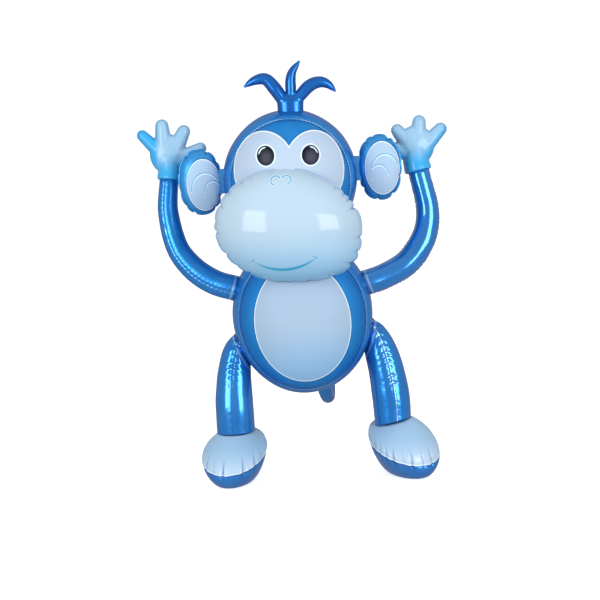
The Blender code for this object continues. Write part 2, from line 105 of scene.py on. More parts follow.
MUZZLE_CENTRE = HEAD_CENTRE + Vector((-6.5, -88.0, -58.9)) * MM
MUZZLE_HALF = Vector((104.4, 60.0, 82.3)) * MM
MUZZLE_BACK = 34.0 * MM
MUZZLE_TURN = math.radians(-5.0)
MUZZLE_PITCH = math.radians(4.0)
# Powers of the rim's four quarters, 2 being a plain oval: from the monkey's left, up and round
MUZZLE_FULLNESS = (1.7, 2.05, 2.0, 3.0)
# Nicks between the lobes of a welded rim: degrees round it from the monkey's left, up and round, and depth
MUZZLE_NICKS = ((16.7, 5.0), (25.9, 3.0), (32.9, 3.0), (43.4, 2.0), (66.0, 1.2), (84.0, 1.2), (101.0, 1.2),
                (118.6, 1.5), (127.1, 2.0), (141.9, 3.0), (156.5, 4.0), (173.4, 2.5), (183.9, 4.0), (207.9, 4.5),
                (222.8, 2.0), (234.9, 3.5), (252.5, 2.5), (264.6, 2.0), (273.9, 2.5), (286.1, 3.0), (302.3, 4.5),
                (320.0, 7.0), (331.8, 4.0), (345.7, 4.0))
NICK_REACH = 3.0 * MM

EAR_HALF = Vector((32.7, 15.0, 48.2)) * MM
EAR_FULLNESS = (2.2,) * 4
EAR_NICKS = {
    "right": ((17.3, 3.0), (37.3, 3.0), (66.7, 3.0), (95.0, 1.0), (123.3, 2.5), (159.3, 1.5), (193.3, 2.0),
              (222.0, 2.0), (247.3, 3.0), (306.3, 3.0), (330.3, 3.0)),
    "left": ((5.1, 1.0), (44.0, 3.0), (64.8, 4.0), (106.1, 2.5), (127.8, 1.5), (156.7, 2.0), (200.3, 4.0),
             (219.2, 4.0), (261.1, 3.0), (302.6, 3.5), (343.6, 2.5)),
}
# Gap between the head and each ear's rim, which the tab spans, and the ear's height over the head's middle
EAR_GAP = {"right": 0.7 * MM, "left": 0.5 * MM}
EAR_RISE = {"right": 0.0, "left": 9.7 * MM}
EAR_LEAN = {"right": math.radians(-2.0), "left": 0.0}
EAR_TAB_HALF = Vector((14.0, 2.5, 18.0)) * MM
# Pale oval of each ear's print, and its two strokes: middle, half size, direction and spread in degrees
EAR_PRINT = {
    "right": ((5.2, -3.8), (25.0, 37.6), (((7.6, -12.0), (21.0, 26.0), 92.0, 88.0),
                                          ((17.6, -12.0), (11.5, 13.5), 110.0, 75.0))),
    "left": ((3.4, -0.6), (25.4, 38.6), (((7.0, -6.0), (20.5, 26.0), 110.0, 92.0),
                                         ((-2.0, -10.0), (13.0, 15.0), 68.0, 70.0))),
}

TUFT_TOP = HEAD_CENTRE + Vector((0.0, -8.0 * MM, HEAD_HALF.z - 1.2 * MM))
TUFT_CURLS = {
    "middle": ((5.0, 6.0), (6.5, 28.0), (7.0, 44.0), (10.5, 56.0), (20.5, 69.2)),
    "right": ((-1.0, 8.0), (-8.5, 20.5), (-17.5, 34.0), (-29.2, 46.3), (-45.0, 44.9), (-59.2, 37.3)),
    "left": ((8.0, 8.0), (20.5, 21.4), (34.0, 34.2), (48.5, 38.8), (60.5, 34.8), (70.2, 25.2)),
}
TUFT_RADII = {"middle": 7.2 * MM, "right": 9.2 * MM, "left": 8.6 * MM}

ARM_PATHS = {
    "right": ((-78.0, -6.0, 278.5), (-97.0, -5.0, 284.7), (-128.3, 0.0, 295.4), (-157.0, 6.0, 316.0),
              (-179.3, 12.0, 348.3), (-189.8, 20.0, 398.5), (-186.8, 27.0, 441.0)),
    "left": ((76.0, -6.0, 278.0), (94.0, -5.0, 283.2), (124.0, 0.0, 291.5), (160.0, 6.0, 310.5),
             (185.8, 12.0, 346.6), (192.3, 20.0, 386.0), (182.9, 27.0, 437.0)),
}
ARM_RADII = {"right": (18.6, 18.6, 18.4, 18.1, 16.5, 15.2, 13.9), "left": (19.0, 19.0, 19.1, 19.5, 18.6, 17.2, 15.8)}
WRIST_END = 5.0 * MM
# Pitch of the welding tool's teeth on the ring welds, and on the lengthwise ones
RING_TOOTH_PITCH = 4.6 * MM
LINE_TOOTH_PITCH = 2.6 * MM
# Degrees round the tube from its front, towards the monkey's left where the tube runs upwards
ARM_SEAM = {"right": -22.0, "left": 78.0}
LEG_SEAM = {"right": -8.0, "left": 12.0}
# Shares of the leg's length between which its seam's puckers grow to full depth
LEG_PUCKERS = {"right": (0.40, 0.52), "left": (0.26, 0.34)}
# Spacing, depth and reach of the folds across the lengthwise seams
ARM_FOLDS = (6.5 * MM, 1.5 * MM, 6.0 * MM)
LEG_FOLDS = (10.0 * MM, 3.2 * MM, 7.0 * MM)
TAIL_FOLDS = (8.0 * MM, 1.0 * MM, 5.0 * MM)
# Painted highlight, or below nothing painted shade, on a seam and on the folds across it
ARM_TONES = (0.15, 0.4)
LEG_TONES = {"right": (-0.55, -0.7), "left": (0.75, 0.55)}

CUFF_FLARE = 1.16
PALM_ASIDE = {"right": 0.8 * MM, "left": -2.4 * MM}
PALM_BACK = 4.0 * MM
PALM_RISE = 37.0 * MM
PALM_HALF = Vector((26.5, 14.0, 29.0)) * MM
DIGIT_FLARE = 1.35
DIGITS = {
    "right": (((-15.5, 44.0), (-36.5, 66.0), 7.4), ((-6.0, 50.0), (-7.0, 78.8), 9.0),
              ((12.0, 46.0), (24.5, 69.4), 8.8), ((17.0, 30.0), (47.5, 43.5), 8.0)),
    "left": (((16.0, 38.0), (37.0, 59.5), 8.6), ((3.0, 46.0), (6.0, 71.4), 9.0),
             ((-12.0, 40.0), (-26.4, 60.3), 8.6), ((-17.0, 28.0), (-46.0, 38.0), 8.0)),
}

ANKLE = {"right": figure(-106.7, -12.0, 70.0), "left": figure(128.0, -12.0, 76.0)}
ANKLE_LEAN = {"right": math.radians(-1.0), "left": math.radians(-11.0)}
LEG_STATIONS = {
    "right": ((1.2, 0.0, 0.0, 28.2), (0.4, 4.0, 36.0, 28.3), (0.9, 8.0, 64.0, 26.8),
              (3.4, 12.0, 94.0, 24.2), (9.8, 16.0, 122.0, 20.4), (20.5, 20.0, 146.0, 9.0)),
    "left": ((0.0, 0.0, 0.0, 27.4), (-1.6, 5.0, 34.0, 28.0), (-6.6, 10.0, 74.0, 26.4),
             (-14.2, 14.0, 106.0, 24.0), (-21.8, 18.0, 131.0, 17.6), (-28.2, 20.0, 145.0, 9.0)),
}

FOOT_HALF_WIDTH = {"right": 47.8 * MM, "left": 50.5 * MM}
FOOT_SPREAD = {"right": 1.9, "left": 1.25}
FOOT_HALF_LENGTH = 60.0 * MM
FOOT_FORWARD = 20.0 * MM
FOOT_ASIDE = 3.5 * MM
FOOT_RIM_HEIGHT = 45.0 * MM
FOOT_TILT = math.radians(21.0)
FOOT_HEADING = {"right": math.radians(-16.0), "left": math.radians(30.0)}
# Creases across the foot's weld: degrees round it from the foot's left side, 270 at the toes, and strength
FOOT_CREASES = {
    "right": ((230.0, 0.8), (249.0, 0.35), (269.0, 1.0), (305.0, 1.0), (328.0, 0.7), (345.0, 0.4), (14.0, 0.4),
              (47.0, 0.5), (83.0, 0.4), (118.0, 0.5), (151.0, 0.4), (199.0, 0.5)),
    "left": ((178.0, 0.5), (191.0, 0.5), (203.0, 0.55), (216.0, 0.85), (232.0, 0.3), (246.0, 1.0), (266.0, 0.45),
             (283.0, 0.95), (312.0, 0.4), (341.0, 0.4), (12.0, 0.4), (49.0, 0.5), (92.0, 0.4), (134.0, 0.5)),
}
# Mean distance from the foot's middle to its weld, on which the creases are spaced
FOOT_REACH = 52.0 * MM
SOLE_HALF_WIDTH = 20.0 * MM
SOLE_HALF_LENGTH = 34.0 * MM
SOLE_FORWARD = 4.0 * MM
SOLE_ASIDE = {"right": 0.0, "left": 3.0 * MM}
SOLE_TUCK = 0.7

TAIL_PATH = ((14.0, 66.0, 168.0), (22.0, 88.0, 136.0), (31.0, 106.0, 98.0), (35.5, 130.0, 85.0),
             (37.0, 152.0, 98.0), (36.5, 160.0, 130.0), (34.5, 158.0, 152.0))
TAIL_RADIUS = 11.0 * MM

# The valve's height over the torso's middle as a share of the torso's own, and its flange, neck and cap from
# the middle outwards: radius and height in real millimetres, because pumps fit one size
VALVE_RISE = 0.15
VALVE_OUTLINE = ((0.0, -1.4), (11.4, -1.4), (12.0, -0.6), (12.0, 1.2), (11.4, 1.6), (5.6, 1.6), (5.2, 2.2),
                 (5.2, 9.0), (6.4, 9.2), (6.8, 9.6), (6.8, 11.4), (6.2, 11.9), (3.0, 11.9), (2.6, 11.4), (0.0, 11.2))

# Share of the blue film's colour that its pearl flakes give
PEARL_METALLIC = 0.58
# Lowest and highest roughness of a film, and the clear gloss over its pearl
PLAIN_GLOSS = (0.22, 0.3, 0.2)
PRINT_GLOSS = (0.36, 0.44, 0.0)
EAR_PRINT_GLOSS = (0.32, 0.42, 0.0)
TUFT_GLOSS = (0.2, 0.3, 0.3)
SOLE_GLOSS = (0.24, 0.34, 0.5)
ARM_GLOSS = {"right": (0.24, 0.36, 0.15), "left": (0.13, 0.2, 1.0)}

# Heights over the wrist between which the hands turn from cyan to pale
WRIST_FADE = (10.0 * MM, 44.0 * MM)
# Direction and range in millimetres over which the outer side of each hand turns from pale to cyan
HAND_FADE = {"right": ((-1.0, 0.0, 0.0), (10.0, 19.0)), "left": ((0.65, 0.0, -0.5), (-11.0, -1.0))}

# Studio, in metres: a floor that curves up at its edge
FLOOR_RADIUS = 9.0
FLOOR_CURVE = 1.6
# Each softbox: name, place, width, height, radiance, and whether the gloss mirrors it
SOFTBOXES = (("softbox_left", (-0.80, -0.98, 0.50), 0.60, 0.70, 7.2, True),
             ("softbox_right", (0.80, -0.98, 0.50), 0.60, 0.70, 7.2, True),
             ("softbox_top", (0.0, -0.2, 2.2), 1.4, 1.0, 2.0, False))
# Strength of the white surround at the horizon and overhead, and the floor's own light
SURROUND = (0.5, 0.62)
FLOOR_GLOW = 0.62
CAMERA_DISTANCE = 2.2
CAMERA_PITCH = math.radians(8.5)
CAMERA_ROLL = math.radians(2.7)
# Side of the photo, the lens's length and the height of the lens's middle in it, in pixels
FRAME_SIDE = 600.0
LENS_LENGTH = 1494.0
LENS_MIDDLE = 274.3
SENSOR_WIDTH = 36.0


def linear(code):
    """Linear red, green, blue and alpha of an sRGB hex colour."""
    parts = [int(code[place:place + 2], 16) / 255 for place in (1, 3, 5)]
    return tuple(part / 12.92 if part <= 0.04045 else ((part + 0.055) / 1.055) ** 2.4 for part in parts) + (1.0,)


def colour_property(name, description, code):
    return FloatVectorProperty(name=name, description=description, subtype="COLOR", size=4, min=0.0, max=1.0,
                               default=linear(code))


def length_property(name, description, size):
    return FloatProperty(name=name, description=description, default=size, unit="LENGTH")


class MonkeyFilm(bpy.types.PropertyGroup):
    """Sizes of the film's welds and puckers."""
    weld_height: length_property("Weld height", "How far a lengthwise weld stands proud", 0.9 * MM)
    weld_width: length_property("Weld width", "Width of a lengthwise weld", 2.6 * MM)
    rim_width: length_property("Rim width", "Width of the flat weld round a pillow's edge", 2.4 * MM)
    pucker_depth: length_property("Pucker depth", "Depth of the creases that cross a ring weld", 1.5 * MM)
    pucker_reach: length_property("Pucker reach", "How far the creases run from a ring weld", 11.0 * MM)
    around: IntProperty(name="Points around", description="Points round each chamber", default=256, min=32, max=512)


class MonkeyColours(bpy.types.PropertyGroup):
    """Colours of the films and prints."""
    pearl: colour_property("Pearl blue", "Pearlised blue film of the body", "#217BCC")
    pearl_round: colour_property("Round pearl blue", "Pearlised blue film of the head and torso", "#2688D6")
    pearl_light: colour_property("Pearl light", "Lighter streaks in the blue film", "#4C9CDC")
    pearl_deep: colour_property("Pearl deep", "Blue film towards its welds", "#1A62B4")
    pale: colour_property("Pale blue", "Muzzle", "#A8BFD1")
    pale_deep: colour_property("Deeper pale blue", "Muzzle's lower part", "#7FB4D8")
    face: colour_property("Face", "Printed face", "#ADBED2")
    belly: colour_property("Belly", "Upper part of the belly print", "#9FB4C9")
    belly_deep: colour_property("Deeper belly", "Lower part of the belly print", "#88B4DA")
    # Also the painted highlight along the welds of the pale films
    border: colour_property("Border", "White line round a print", "#DDF1FB")
    outline: colour_property("Outline", "Dark line outside a white border", "#1C5A9E")
    ink: colour_property("Ink", "Nose, smile and ear lines", "#2E93BC")
    brow: colour_property("Brow", "Thin arcs over the eyes", "#9CBEDD")
    crease: colour_property("Crease", "Shade in the creases and beside the welds", "#0C3F7E")
    # Painted highlight: the glints along a weld
    weld_glint: colour_property("Bead", "Light line along a weld", "#D8F0FF")
    eye: colour_property("Eye", "Black of the eyes", "#17161B")
    eye_glow: colour_property("Eye glow", "Grey inside the eyes", "#45444C")
    ear: colour_property("Ear", "Blue rim of the ears", "#3F96D8")
    ear_pale: colour_property("Ear print", "Pale oval of the ears", "#A6BFD8")
    hand_tip: colour_property("Hand tip", "Palms and fingertips", "#8DB6D2")
    hand_wrist: colour_property("Hand wrist", "Cyan at the wrists and backs", "#34A0DA")
    upper: colour_property("Foot upper", "Upper film of the feet", "#8FB1CD")
    upper_toe: colour_property("Foot toes", "Upper film over the toes", "#B1C7DC")
    sole: colour_property("Sole", "Blue film under the feet", "#3280D4")
    pale_crease: colour_property("Pale crease", "Shade in the creases of the pale films", "#3F6FA8")
    valve: colour_property("Valve", "Soft clear vinyl", "#BFD4E6")


def smooth_path(points, steps):
    """Points of a smooth curve through the given ones."""
    ends = [points[0] * 2.0 - points[1]] + list(points) + [points[-1] * 2.0 - points[-2]]
    spans = len(points) - 1
    result = []
    for step in range(spans * steps + 1):
        span = min(step // steps, spans - 1)
        t = step / steps - span
        a, b, c, d = ends[span:span + 4]
        middle = 2.0 * b + (c - a) * t
        bend = (2.0 * a - 5.0 * b + 4.0 * c - d) * t ** 2 + (3.0 * b - a - 3.0 * c + d) * t ** 3
        result.append((middle + bend) * 0.5)
    return result


def smooth_stations(places, radii, steps):
    """Places and radii of a tube along the smooth curve through the given ones."""
    widths = smooth_path([Vector((radius, 0.0, 0.0)) for radius in radii], steps)
    return [(place, width.x) for place, width in zip(smooth_path(places, steps), widths)]


def clustered(low, high, spacing, centres, reach):
    """Evenly spaced levels from low to high, with fine ones near each centre."""
    count = max(2, round((high - low) / spacing))
    levels = [low + (high - low) * step / count for step in range(count + 1)]
    fine = [0.0, 0.06, 0.13, 0.22, 0.34, 0.5, 0.7, 1.0]
    for centre in centres:
        levels = [level for level in levels if abs(level - centre) > reach * 1.15 or level in (low, high)]
        levels += [centre + sign * reach * share for share in fine for sign in (-1.0, 1.0) if share or sign > 0]
    return sorted(level for level in levels if low <= level <= high)


def sphere_row(vert, rows):
    """Row of a unit sphere, counted from the bottom, that a vertex lies on."""
    return round((math.asin(max(-1.0, min(1.0, vert.co.z))) / math.pi + 0.5) * (rows - 1))


def blown(name, around, levels, shape, place=None, second_film=None):
    """Chamber from a sphere whose rows are the levels; shape turns each turn and level into a local place and tone.

    The tone is 1 where a highlight is painted on a weld and -1 where shade is painted in a crease. second_film tells
    by level which faces take the second material.
    """
    bm = bmesh.new()
    bmesh.ops.create_uvsphere(bm, u_segments=around, v_segments=len(levels) - 1, radius=1.0)
    rows = {}
    tones = bm.verts.layers.float.new("painted_weld_tone")
    for vert in bm.verts:
        row = sphere_row(vert, len(levels))
        turn = math.atan2(vert.co.y, vert.co.x) % math.tau if 0 < row < len(levels) - 1 else 0.0
        rows[vert] = levels[row]
        vert.co, vert[tones] = shape(turn, levels[row])
    print_map = bm.loops.layers.uv.new("print")
    for face in bm.faces:
        if second_film:
            face.material_index = int(second_film(sum(rows[vert] for vert in face.verts) / len(face.verts)))
        for loop in face.loops:
            loop[print_map].uv = (loop.vert.co.x, loop.vert.co.z)
    if place:
        bmesh.ops.transform(bm, matrix=place, verts=bm.verts)
    return finished(name, bm)


def finished(name, bm):
    """Object at the origin from a bmesh whose faces are turned outwards and shaded smooth."""
    bmesh.ops.recalc_face_normals(bm, faces=bm.faces)
    for face in bm.faces:
        face.smooth = True
    mesh = bpy.data.meshes.new(name)
    bm.to_mesh(mesh)
    bm.free()
    piece = bpy.data.objects.new(name, mesh)
    bpy.context.scene.collection.objects.link(piece)
    return piece


def spun(outline, steps, merge):
    """Closed shape turned round the vertical from an outline of radius and height, as a bmesh."""
    bm = bmesh.new()
    verts = [bm.verts.new((radius, 0.0, height)) for radius, height in outline]
    for start, end in zip(verts, verts[1:]):
        bm.edges.new((start, end))
    bmesh.ops.spin(bm, geom=bm.verts[:] + bm.edges[:], cent=(0, 0, 0), axis=(0, 0, 1), angle=math.tau,
                   steps=steps, use_merge=True)
    bmesh.ops.remove_doubles(bm, verts=bm.verts, dist=merge)
    return bm


def placed(location, turn=0.0, pitch=0.0, lean=0.0):
    """Matrix for a piece: leaned sideways, pitched, turned about the vertical, then moved."""
    turning = Matrix.Rotation(turn, 4, "Z") @ Matrix.Rotation(pitch, 4, "X") @ Matrix.Rotation(lean, 4, "Y")
    return Matrix.Translation(location) @ turning


def ring_puckers(turn, count, away, reach, seed):
    """Share from 0 to 1 of a pucker's depth: creases round a ring weld, uneven in place and strength."""
    spot = Vector((math.cos(turn), math.sin(turn), 0.0)) * count * 0.16
    wander = noise.noise(spot + Vector((0.0, 0.0, seed)))
    strength = 0.6 + 0.7 * noise.noise(spot * 1.7 + Vector((0.0, 0.0, seed + 9.0)))
    crease = 1.0 - abs(math.sin(0.5 * count * turn + 1.1 * wander)) ** 0.45
    return max(0.0, strength) * crease * math.exp(-abs(away / reach) ** 1.3)


def line_puckers(along, pitch, away, reach, seed):
    """The same creases across a weld that runs lengthwise."""
    wander = noise.noise(Vector((along / pitch * 0.3, seed, 0.0)))
    strength = 0.55 + 0.8 * noise.noise(Vector((along / pitch * 0.55, seed, 7.0)))
    crease = 1.0 - abs(math.sin(math.pi * (along / pitch + 0.5 * wander))) ** 0.5
    return max(0.0, strength) * crease * math.exp(-abs(away / reach) ** 1.4)


def bell(away, width):
    """Share that falls softly from 1 on a line to 0 beside it."""
    return math.exp(-(away / width) ** 2)


def turned_by(turn, start):
    """Angle from one turn to another, between minus and plus half a circle."""
    return (turn - start + math.pi) % math.tau - math.pi


def weld(away, width):
    """Flat-topped ridge of a welded seam, from 1 on it to 0 beside it."""
    return 1.0 / (1.0 + (2.0 * away / width) ** 6)


def slack(spot, size, seed):
    """Broad uneven tension of blown film, about -1 to 1."""
    return noise.noise(spot / size + Vector((seed, 0.0, 0.0)))


def add(tree, kind, settings=None, links=None):
    """Adds a shader node of a kind, with its settings by property or socket, and its incoming links by socket."""
    made = tree.nodes.new("ShaderNode" + kind)
    for name, value in (settings or {}).items():
        if isinstance(name, str) and hasattr(made, name):
            setattr(made, name, value)
        else:
            made.inputs[name].default_value = value
    for socket, source in (links or {}).items():
        tree.links.new(source, made.inputs[socket])
    return made


def film(name, colour, roughness, ior=1.53, coat=0.0):
    """Starts a vinyl film material and returns it with its tree and shader."""
    material = bpy.data.materials.new(name)
    material.use_nodes = True
    material.diffuse_color = colour
    tree = material.node_tree
    shader = tree.nodes["Principled BSDF"]
    shader.inputs["Base Color"].default_value = colour
    shader.inputs["Roughness"].default_value = roughness
    shader.inputs["IOR"].default_value = ior
    shader.inputs["Coat Weight"].default_value = coat
    shader.inputs["Coat Roughness"].default_value = 0.05
    return material, tree, shader


def stretched_surface(tree, shader, smooth_to, rough_to, bump):
    """Uneven gloss and faint stretch marks that blown vinyl shows, a few millimetres to centimetres wide."""
    place = add(tree, "TexCoord")
    broad = add(tree, "TexNoise", {"Scale": 1.0 / (24.0 * MM), "Detail": 3.0},
                {"Vector": place.outputs["Object"]})
    gloss = add(tree, "MapRange", {"To Min": smooth_to, "To Max": rough_to},
                {"Value": broad.outputs["Fac"]})
    tree.links.new(gloss.outputs["Result"], shader.inputs["Roughness"])
    fine = add(tree, "TexNoise", {"Scale": 1.0 / (7.0 * MM), "Detail": 2.0, "Distortion": 0.6},
               {"Vector": place.outputs["Object"]})
    relief = add(tree, "Bump", {"Strength": bump, "Distance": 0.0012},
                 {"Height": fine.outputs["Fac"]})
    tree.links.new(relief.outputs["Normal"], shader.inputs["Normal"])
    return place


def painted_weld_light_and_shade(tree, under, crease, weld_glint):
    """Paints shade in the creases and beside the welds, and highlights on the welds, by the tone that the piece's mesh
    carries.
    """
    tone = add(tree, "Attribute", {"attribute_name": "painted_weld_tone"})
    depth = add(tree, "MapRange", {"From Min": 0.0, "From Max": -1.0}, {"Value": tone.outputs["Fac"]})
    shaded = add(tree, "Mix", {"data_type": "RGBA", 7: crease}, {0: depth.outputs["Result"], 6: under})
    height = add(tree, "MapRange", {"From Min": 0.0, "From Max": 1.0}, {"Value": tone.outputs["Fac"]})
    lit = add(tree, "Mix", {"data_type": "RGBA", 7: weld_glint},
              {0: height.outputs["Result"], 6: shaded.outputs[2]})
    return lit.outputs[2]


def pearl_film(name, colours, dark, light, smooth_to=0.14, rough_to=0.24, coat=0.5):
    """Pearlised vinyl film: flakes in the blue give it a half metallic sheen under a clear gloss."""
    material, tree, shader = film(name, dark, 0.2, coat=coat)
    shader.inputs["Metallic"].default_value = PEARL_METALLIC
    shader.inputs["Specular Tint"].default_value = linear("#2A5FA0")
    place = stretched_surface(tree, shader, smooth_to, rough_to, 0.1)
    streaks = add(tree, "TexNoise", {"Scale": 1.0 / (46.0 * MM), "Detail": 4.0, "Distortion": 0.8},
                  {"Vector": place.outputs["Object"]})
    tint = add(tree, "MapRange", {"From Min": 0.35, "From Max": 0.75, "To Max": 0.35},
               {"Value": streaks.outputs["Fac"]})
    body = add(tree, "Mix", {"data_type": "RGBA", 6: dark, 7: light}, {0: tint.outputs["Result"]})
    # Painted shade in the creases and beside the welds, and painted highlights on the welds, by the mesh's tone
    toned = painted_weld_light_and_shade(tree, body.outputs[2], colours.crease, colours.weld_glint)
    tree.links.new(toned, shader.inputs["Base Color"])
    return material


def printed_place(tree):
    """Across and up on the print, in metres from the piece's middle."""
    place = add(tree, "UVMap", {"uv_map": "print"})
    split = add(tree, "SeparateXYZ", links={"Vector": place.outputs["UV"]})
    return split.outputs["X"], split.outputs["Y"]


def oval_shares(tree, across, up, centre, half):
    """Place on the print from an oval's middle, as shares of its half size."""
    x = add(tree, "Math", {"operation": "MULTIPLY_ADD", 1: 1.0 / (half[0] * MM), 2: -centre[0] / half[0]},
            {0: across})
    z = add(tree, "Math", {"operation": "MULTIPLY_ADD", 1: 1.0 / (half[1] * MM), 2: -centre[1] / half[1]},
            {0: up})
    return add(tree, "CombineXYZ", links={"X": x.outputs[0], "Y": z.outputs[0]}).outputs[0]


def outside(tree, shares, half):
    """Distance outside an oval in millimetres, negative inside it."""
    reach = add(tree, "VectorMath", {"operation": "LENGTH"}, {0: shares})
    size = 0.5 * (half[0] + half[1])
    field = add(tree, "Math", {"operation": "MULTIPLY_ADD", 1: size, 2: -size}, {0: reach.outputs["Value"]})
    return field.outputs[0]


def oval_field(tree, across, up, centre, half):
    """The same distance, for a place across and up on the print."""
    return outside(tree, oval_shares(tree, across, up, centre, half), half)


def arc_field(tree, across, up, centre, half, middle, spread, width):
    """Distance in millimetres outside a thin arc: the part of an oval ring within a spread of its middle direction."""
    shares = oval_shares(tree, across, up, centre, half)
    away = add(tree, "Math", {"operation": "ABSOLUTE"}, {0: outside(tree, shares, half)})
    beside = add(tree, "Math", {"operation": "SUBTRACT", 1: width / 2}, {0: away.outputs[0]})
    direction = (math.cos(math.radians(middle)), math.sin(math.radians(middle)), 0.0)
    along = add(tree, "VectorMath", {"operation": "DOT_PRODUCT", 1: direction}, {0: shares})
    scale = 0.5 * (half[0] + half[1]) / math.sin(math.radians(spread))
    beyond = add(tree, "Math", {"operation": "MULTIPLY_ADD", 1: -scale,
                                          2: scale * math.cos(math.radians(spread))}, {0: along.outputs["Value"]})
    field = add(tree, "Math", {"operation": "MAXIMUM"}, {0: beside.outputs[0], 1: beyond.outputs[0]})
    return field.outputs[0]


def inked(tree, under, layer, field, edge=0.0, blur=0.3):
    """Lays a colour or another layer over what is under it, where a field in millimetres is below the edge."""
    mask = add(tree, "MapRange", {"From Min": edge - blur, "From Max": edge + blur,
                                            "To Min": 1.0, "To Max": 0.0}, {"Value": field})
    laid = add(tree, "Mix", {"data_type": "RGBA"}, {0: mask.outputs["Result"], 6: under})
    if isinstance(layer, bpy.types.NodeSocket):
        tree.links.new(layer, laid.inputs[7])
    else:
        laid.inputs[7].default_value = layer
    return laid.outputs[2]


def pale_ground(tree, up, pale, deep, low, high):
    """Blends from the deep colour below to the pale one above, between two heights in millimetres."""
    share = add(tree, "MapRange", {"interpolation_type": "SMOOTHSTEP", "From Min": low * MM,
                                             "From Max": high * MM}, {"Value": up})
    ground = add(tree, "Mix", {"data_type": "RGBA", 6: deep, 7: pale}, {0: share.outputs["Result"]})
    return ground.outputs[2]


def print_on_pearl(tree, shader, ground, field, colours, border):
    """Pale print with a white line of some width round it and a dark one outside that, which hides the pearl."""
    body = shader.inputs["Base Color"].links[0].from_socket
    for layer, edge, blur in ((colours.outline, 1.3, 0.5), (colours.border, 0.2, 0.4), (ground, -border, 0.5)):
        body = inked(tree, body, layer, field, edge, blur)
    pearl = add(tree, "MapRange", {"From Min": 0.0, "From Max": 1.2, "To Max": PEARL_METALLIC},
                {"Value": field})
    tree.links.new(pearl.outputs["Result"], shader.inputs["Metallic"])
    return body


def egg_point(turn, level, half, down, grow=0.0):
    """Place on an egg whose poles lie along Y, by turn about Y and by angle from its widest ring."""
    across = math.cos(level) * math.cos(turn)
    up = math.cos(level) * math.sin(turn)
    height = half.z if up > 0.0 else down
    return Vector((across * (half.x + grow), math.sin(level) * (half.y + grow), up * (height + grow)))


def seamed_egg(settings, half, down, weld_level, puckers, seed):
    """Shape of a chamber made of a front and a back film, welded on a ring in front of its middle."""
    mean = (half.x + half.z + down) / 3
    teeth_count = round(math.tau * mean * math.cos(weld_level) / RING_TOOTH_PITCH)

    def shape(turn, level):
        away = (level - weld_level) * mean
        spot = egg_point(turn, level, half, down)
        crease = ring_puckers(turn, puckers, away, 0.7 * settings.pucker_reach, seed)
        teeth = 0.5 + 0.5 * math.cos(teeth_count * turn)
        ridge = weld(away, settings.weld_width)
        grow = 1.2 * settings.weld_height * (0.7 + 0.3 * teeth) * ridge
        grow -= settings.pucker_depth * crease * (1.0 - 0.6 * ridge)
        grow -= 1.4 * MM * bell(away, 6.0 * MM)
        grow += 0.6 * MM * slack(spot, 45.0 * MM, seed)
        # Painted highlight in dots along the weld's teeth, and a painted shade line in the groove beside it
        patchy = 0.85 + 0.6 * slack(spot, 30.0 * MM, seed + 5.0)
        tone = (0.35 + 0.65 * teeth) * patchy * weld(away, 2.3 * MM)
        tone -= 0.7 * bell(away + 3.0 * MM, 1.7 * MM)
        return egg_point(turn, level, half, down, grow), tone

    return shape


def rim_point(turn, half, fullness, nicks, share):
    """Place on a lobed rim, an oval with its own fullness in each quarter, and how far a nick draws it in there."""
    across = math.cos(turn)
    upward = math.sin(turn)
    power = fullness[min(3, int(turn % math.tau / (math.pi / 2)))]
    reach = (abs(across) ** power + abs(upward) ** power) ** (-1.0 / power)
    point = Vector((half.x * across * reach, 0.0, half.z * upward * reach))
    drop = 0.0
    for place, depth in nicks:
        apart = abs(turned_by(turn, math.radians(place))) * point.length
        drop = max(drop, depth * MM * math.exp(-apart / NICK_REACH))
    return point - point.normalized() * drop * share, drop


def pillow_shape(settings, half, back, fullness, nicks, crease_depth, seed):
    """Shape of two films welded round a lobed rim and blown up; the front bulges towards -Y."""
    def shape(turn, level):
        shrink = math.cos(level)
        rim, drop = rim_point(turn, half, fullness, nicks, max(0.0, shrink) ** 16)
        outward = rim.normalized()
        lift = half.y if level < 0.0 else back
        from_rim = abs(level) * (half.x + half.z) * 0.35
        flat = settings.rim_width * max(0.0, 1.0 - (from_rim / (1.3 * MM)) ** 2)
        point = (rim - outward * settings.rim_width) * shrink + outward * flat
        nick = min(1.0, drop / (4.0 * MM))
        crease = nick * math.exp(-from_rim / (1.2 * crease_depth)) * (1.0 - math.exp(-from_rim / (1.5 * MM)))
        point.y = lift * math.sin(level)
        if abs(level) > 1e-6:
            point.y -= math.copysign(0.55 * crease_depth * crease, level)
        # Painted shade along the rim's weld and in the creases that run in from the nicks
        tone = min(-0.5 * bell(from_rim, 1.1 * MM), -0.95 * nick ** 1.2 * bell(from_rim, 3.4 * MM))
        loose = 0.5 * MM * slack(point, 32.0 * MM, seed) * min(1.0, from_rim / (10.0 * MM))
        return point + Vector((0.0, loose, 0.0)), tone

    return shape


